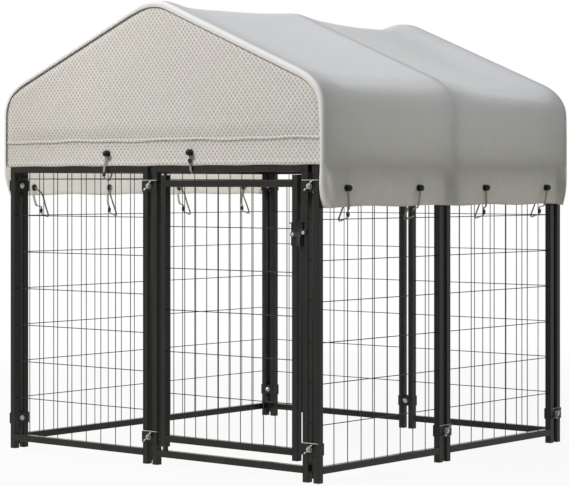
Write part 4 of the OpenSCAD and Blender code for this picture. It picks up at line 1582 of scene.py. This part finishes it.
@dataclass
class Studio:
    """Camera, lamps, floor and the light from all round."""

    eye: tuple[float, float, float] = (4.1597, -5.0354, 0.8140)
    azimuth: float = 39.758
    lens: float = 132.303
    sensor: float = 36.0
    shift: Span = (0.00543, -0.10364)
    far_clip: float = 100.0
    aim: tuple[float, float, float] = (0.0, 0.0, 0.7)
    lamps: tuple[Lamp, ...] = (
        Lamp("key", (-2.2, -4.8, 5.6), 2.4, 510.0, (1.0, 0.995, 0.985)),
        Lamp("top", (0.6, -1.6, 5.5), 3.0, 24.0, (0.94, 0.97, 1.0)),
        Lamp("side", (5.2, -1.5, 3.4), 2.5, 12.0, (0.58, 0.82, 1.0)),
        Lamp("left", (-5.2, 1.0, 1.7), 2.2, 180.0, (1.0, 0.99, 0.97)),
    )
    around: float = 0.3
    floor_half: float = 40.0
    floor_colour: Colour = (0.392, 0.387, 0.35)
    floor_glow: float = 0.93
    floor_fade: Span = (2.2, 4.5)
    white: Colour = (1.0, 1.0, 1.0)

    def camera(self) -> None:
        """Set the camera at the photograph's place."""
        data = bpy.data.cameras.new("camera")
        data.sensor_width, data.lens = self.sensor, self.lens
        data.shift_x, data.shift_y = self.shift
        data.clip_end = self.far_clip
        made = bpy.data.objects.new("camera", data)
        made.location = self.eye
        made.rotation_euler = (math.pi / 2, 0.0, math.radians(self.azimuth))
        bpy.context.scene.collection.objects.link(made)
        bpy.context.scene.camera = made

    @staticmethod
    def seen(shade: Shade) -> Value:
        """Tell rays that see the backdrop from rays that only carry light.

        Args:
            shade: The node tree that asks.

        Returns:
            1 for rays from the camera, a mirror or a glass, and 0 for others.
        """
        rays = shade.node("ShaderNodeLightPath").socket.node.outputs
        first, second, third = (
            Value(shade, rays[name]) for name in ("Is Camera Ray", "Is Glossy Ray", "Is Transmission Ray")
        )
        return first.at_least(second).at_least(third)

    def floor(self) -> None:
        """Lay the pale floor, which keeps the kennel's shadow."""
        work = bmesh.new()
        bmesh.ops.create_grid(work, x_segments=1, y_segments=1, size=self.floor_half)
        mesh = to_mesh("floor", work, smooth=False)
        made = bpy.data.objects.new("floor", mesh)
        bpy.context.scene.collection.objects.link(made)
        shade = Shade.named("pale_floor")
        matt = shade.node("ShaderNodeBsdfDiffuse", None, {"Color": self.floor_colour})
        glow = shade.node("ShaderNodeEmission", None, {"Color": self.white, "Strength": 1.0})
        x, y, _ = shade.parts(shade.place())
        near, far = self.floor_fade
        distant = (x * x + y * y).ramp(near * near, far * far)
        share = self.floor_glow + distant * (1.0 - self.floor_glow)
        mixed = shade.node("ShaderNodeMixShader", None, {0: self.seen(shade) * share, 1: matt, 2: glow})
        mesh.materials.append(shade.output(mixed))

    def world(self) -> None:
        """Light the scene evenly from all round, with a white backdrop."""
        world = bpy.data.worlds.new("studio")
        bpy.context.scene.world = world
        shade = Shade(world)
        strength = self.around + self.seen(shade) * (1.0 - self.around)
        light = shade.node("ShaderNodeBackground", None, {"Color": self.white, "Strength": strength})
        shade.node("ShaderNodeOutputWorld", None, {"Surface": light})

    def build(self) -> None:
        """Set up the whole studio."""
        bpy.context.scene.view_settings.view_transform = "Standard"
        self.camera()
        for lamp in self.lamps:
            lamp.hang(Vector(self.aim))
        self.floor()
        self.world()


def main() -> None:
    """Build the scene in order and report each piece."""
    logging.basicConfig(level=logging.INFO, format="%(message)s")
    Studio().build()
    line = HoopLine()
    roof, ends = RoofSheet(line), (GableEnd(line), GableEnd(line, rear=True))
    steps: list[tuple[str, Callable[[], object]]] = [
        ("ties", Ties(line).build),
        ("roof sheet", roof.build),
        ("front gable", ends[0].build),
        ("rear gable", ends[1].build),
        ("front seam binding", SeamCord(roof, ends[0]).build),
        ("rear seam binding", SeamCord(roof, ends[1]).build),
        ("edge strips", EdgeStrips().build),
        ("clamp lips", ClampLips().build),
        ("ironwork", Ironwork().dress),
    ]
    for name, make in steps:
        LOG.info("%s: %s", name, make())


if __name__ == "__main__":
    main()
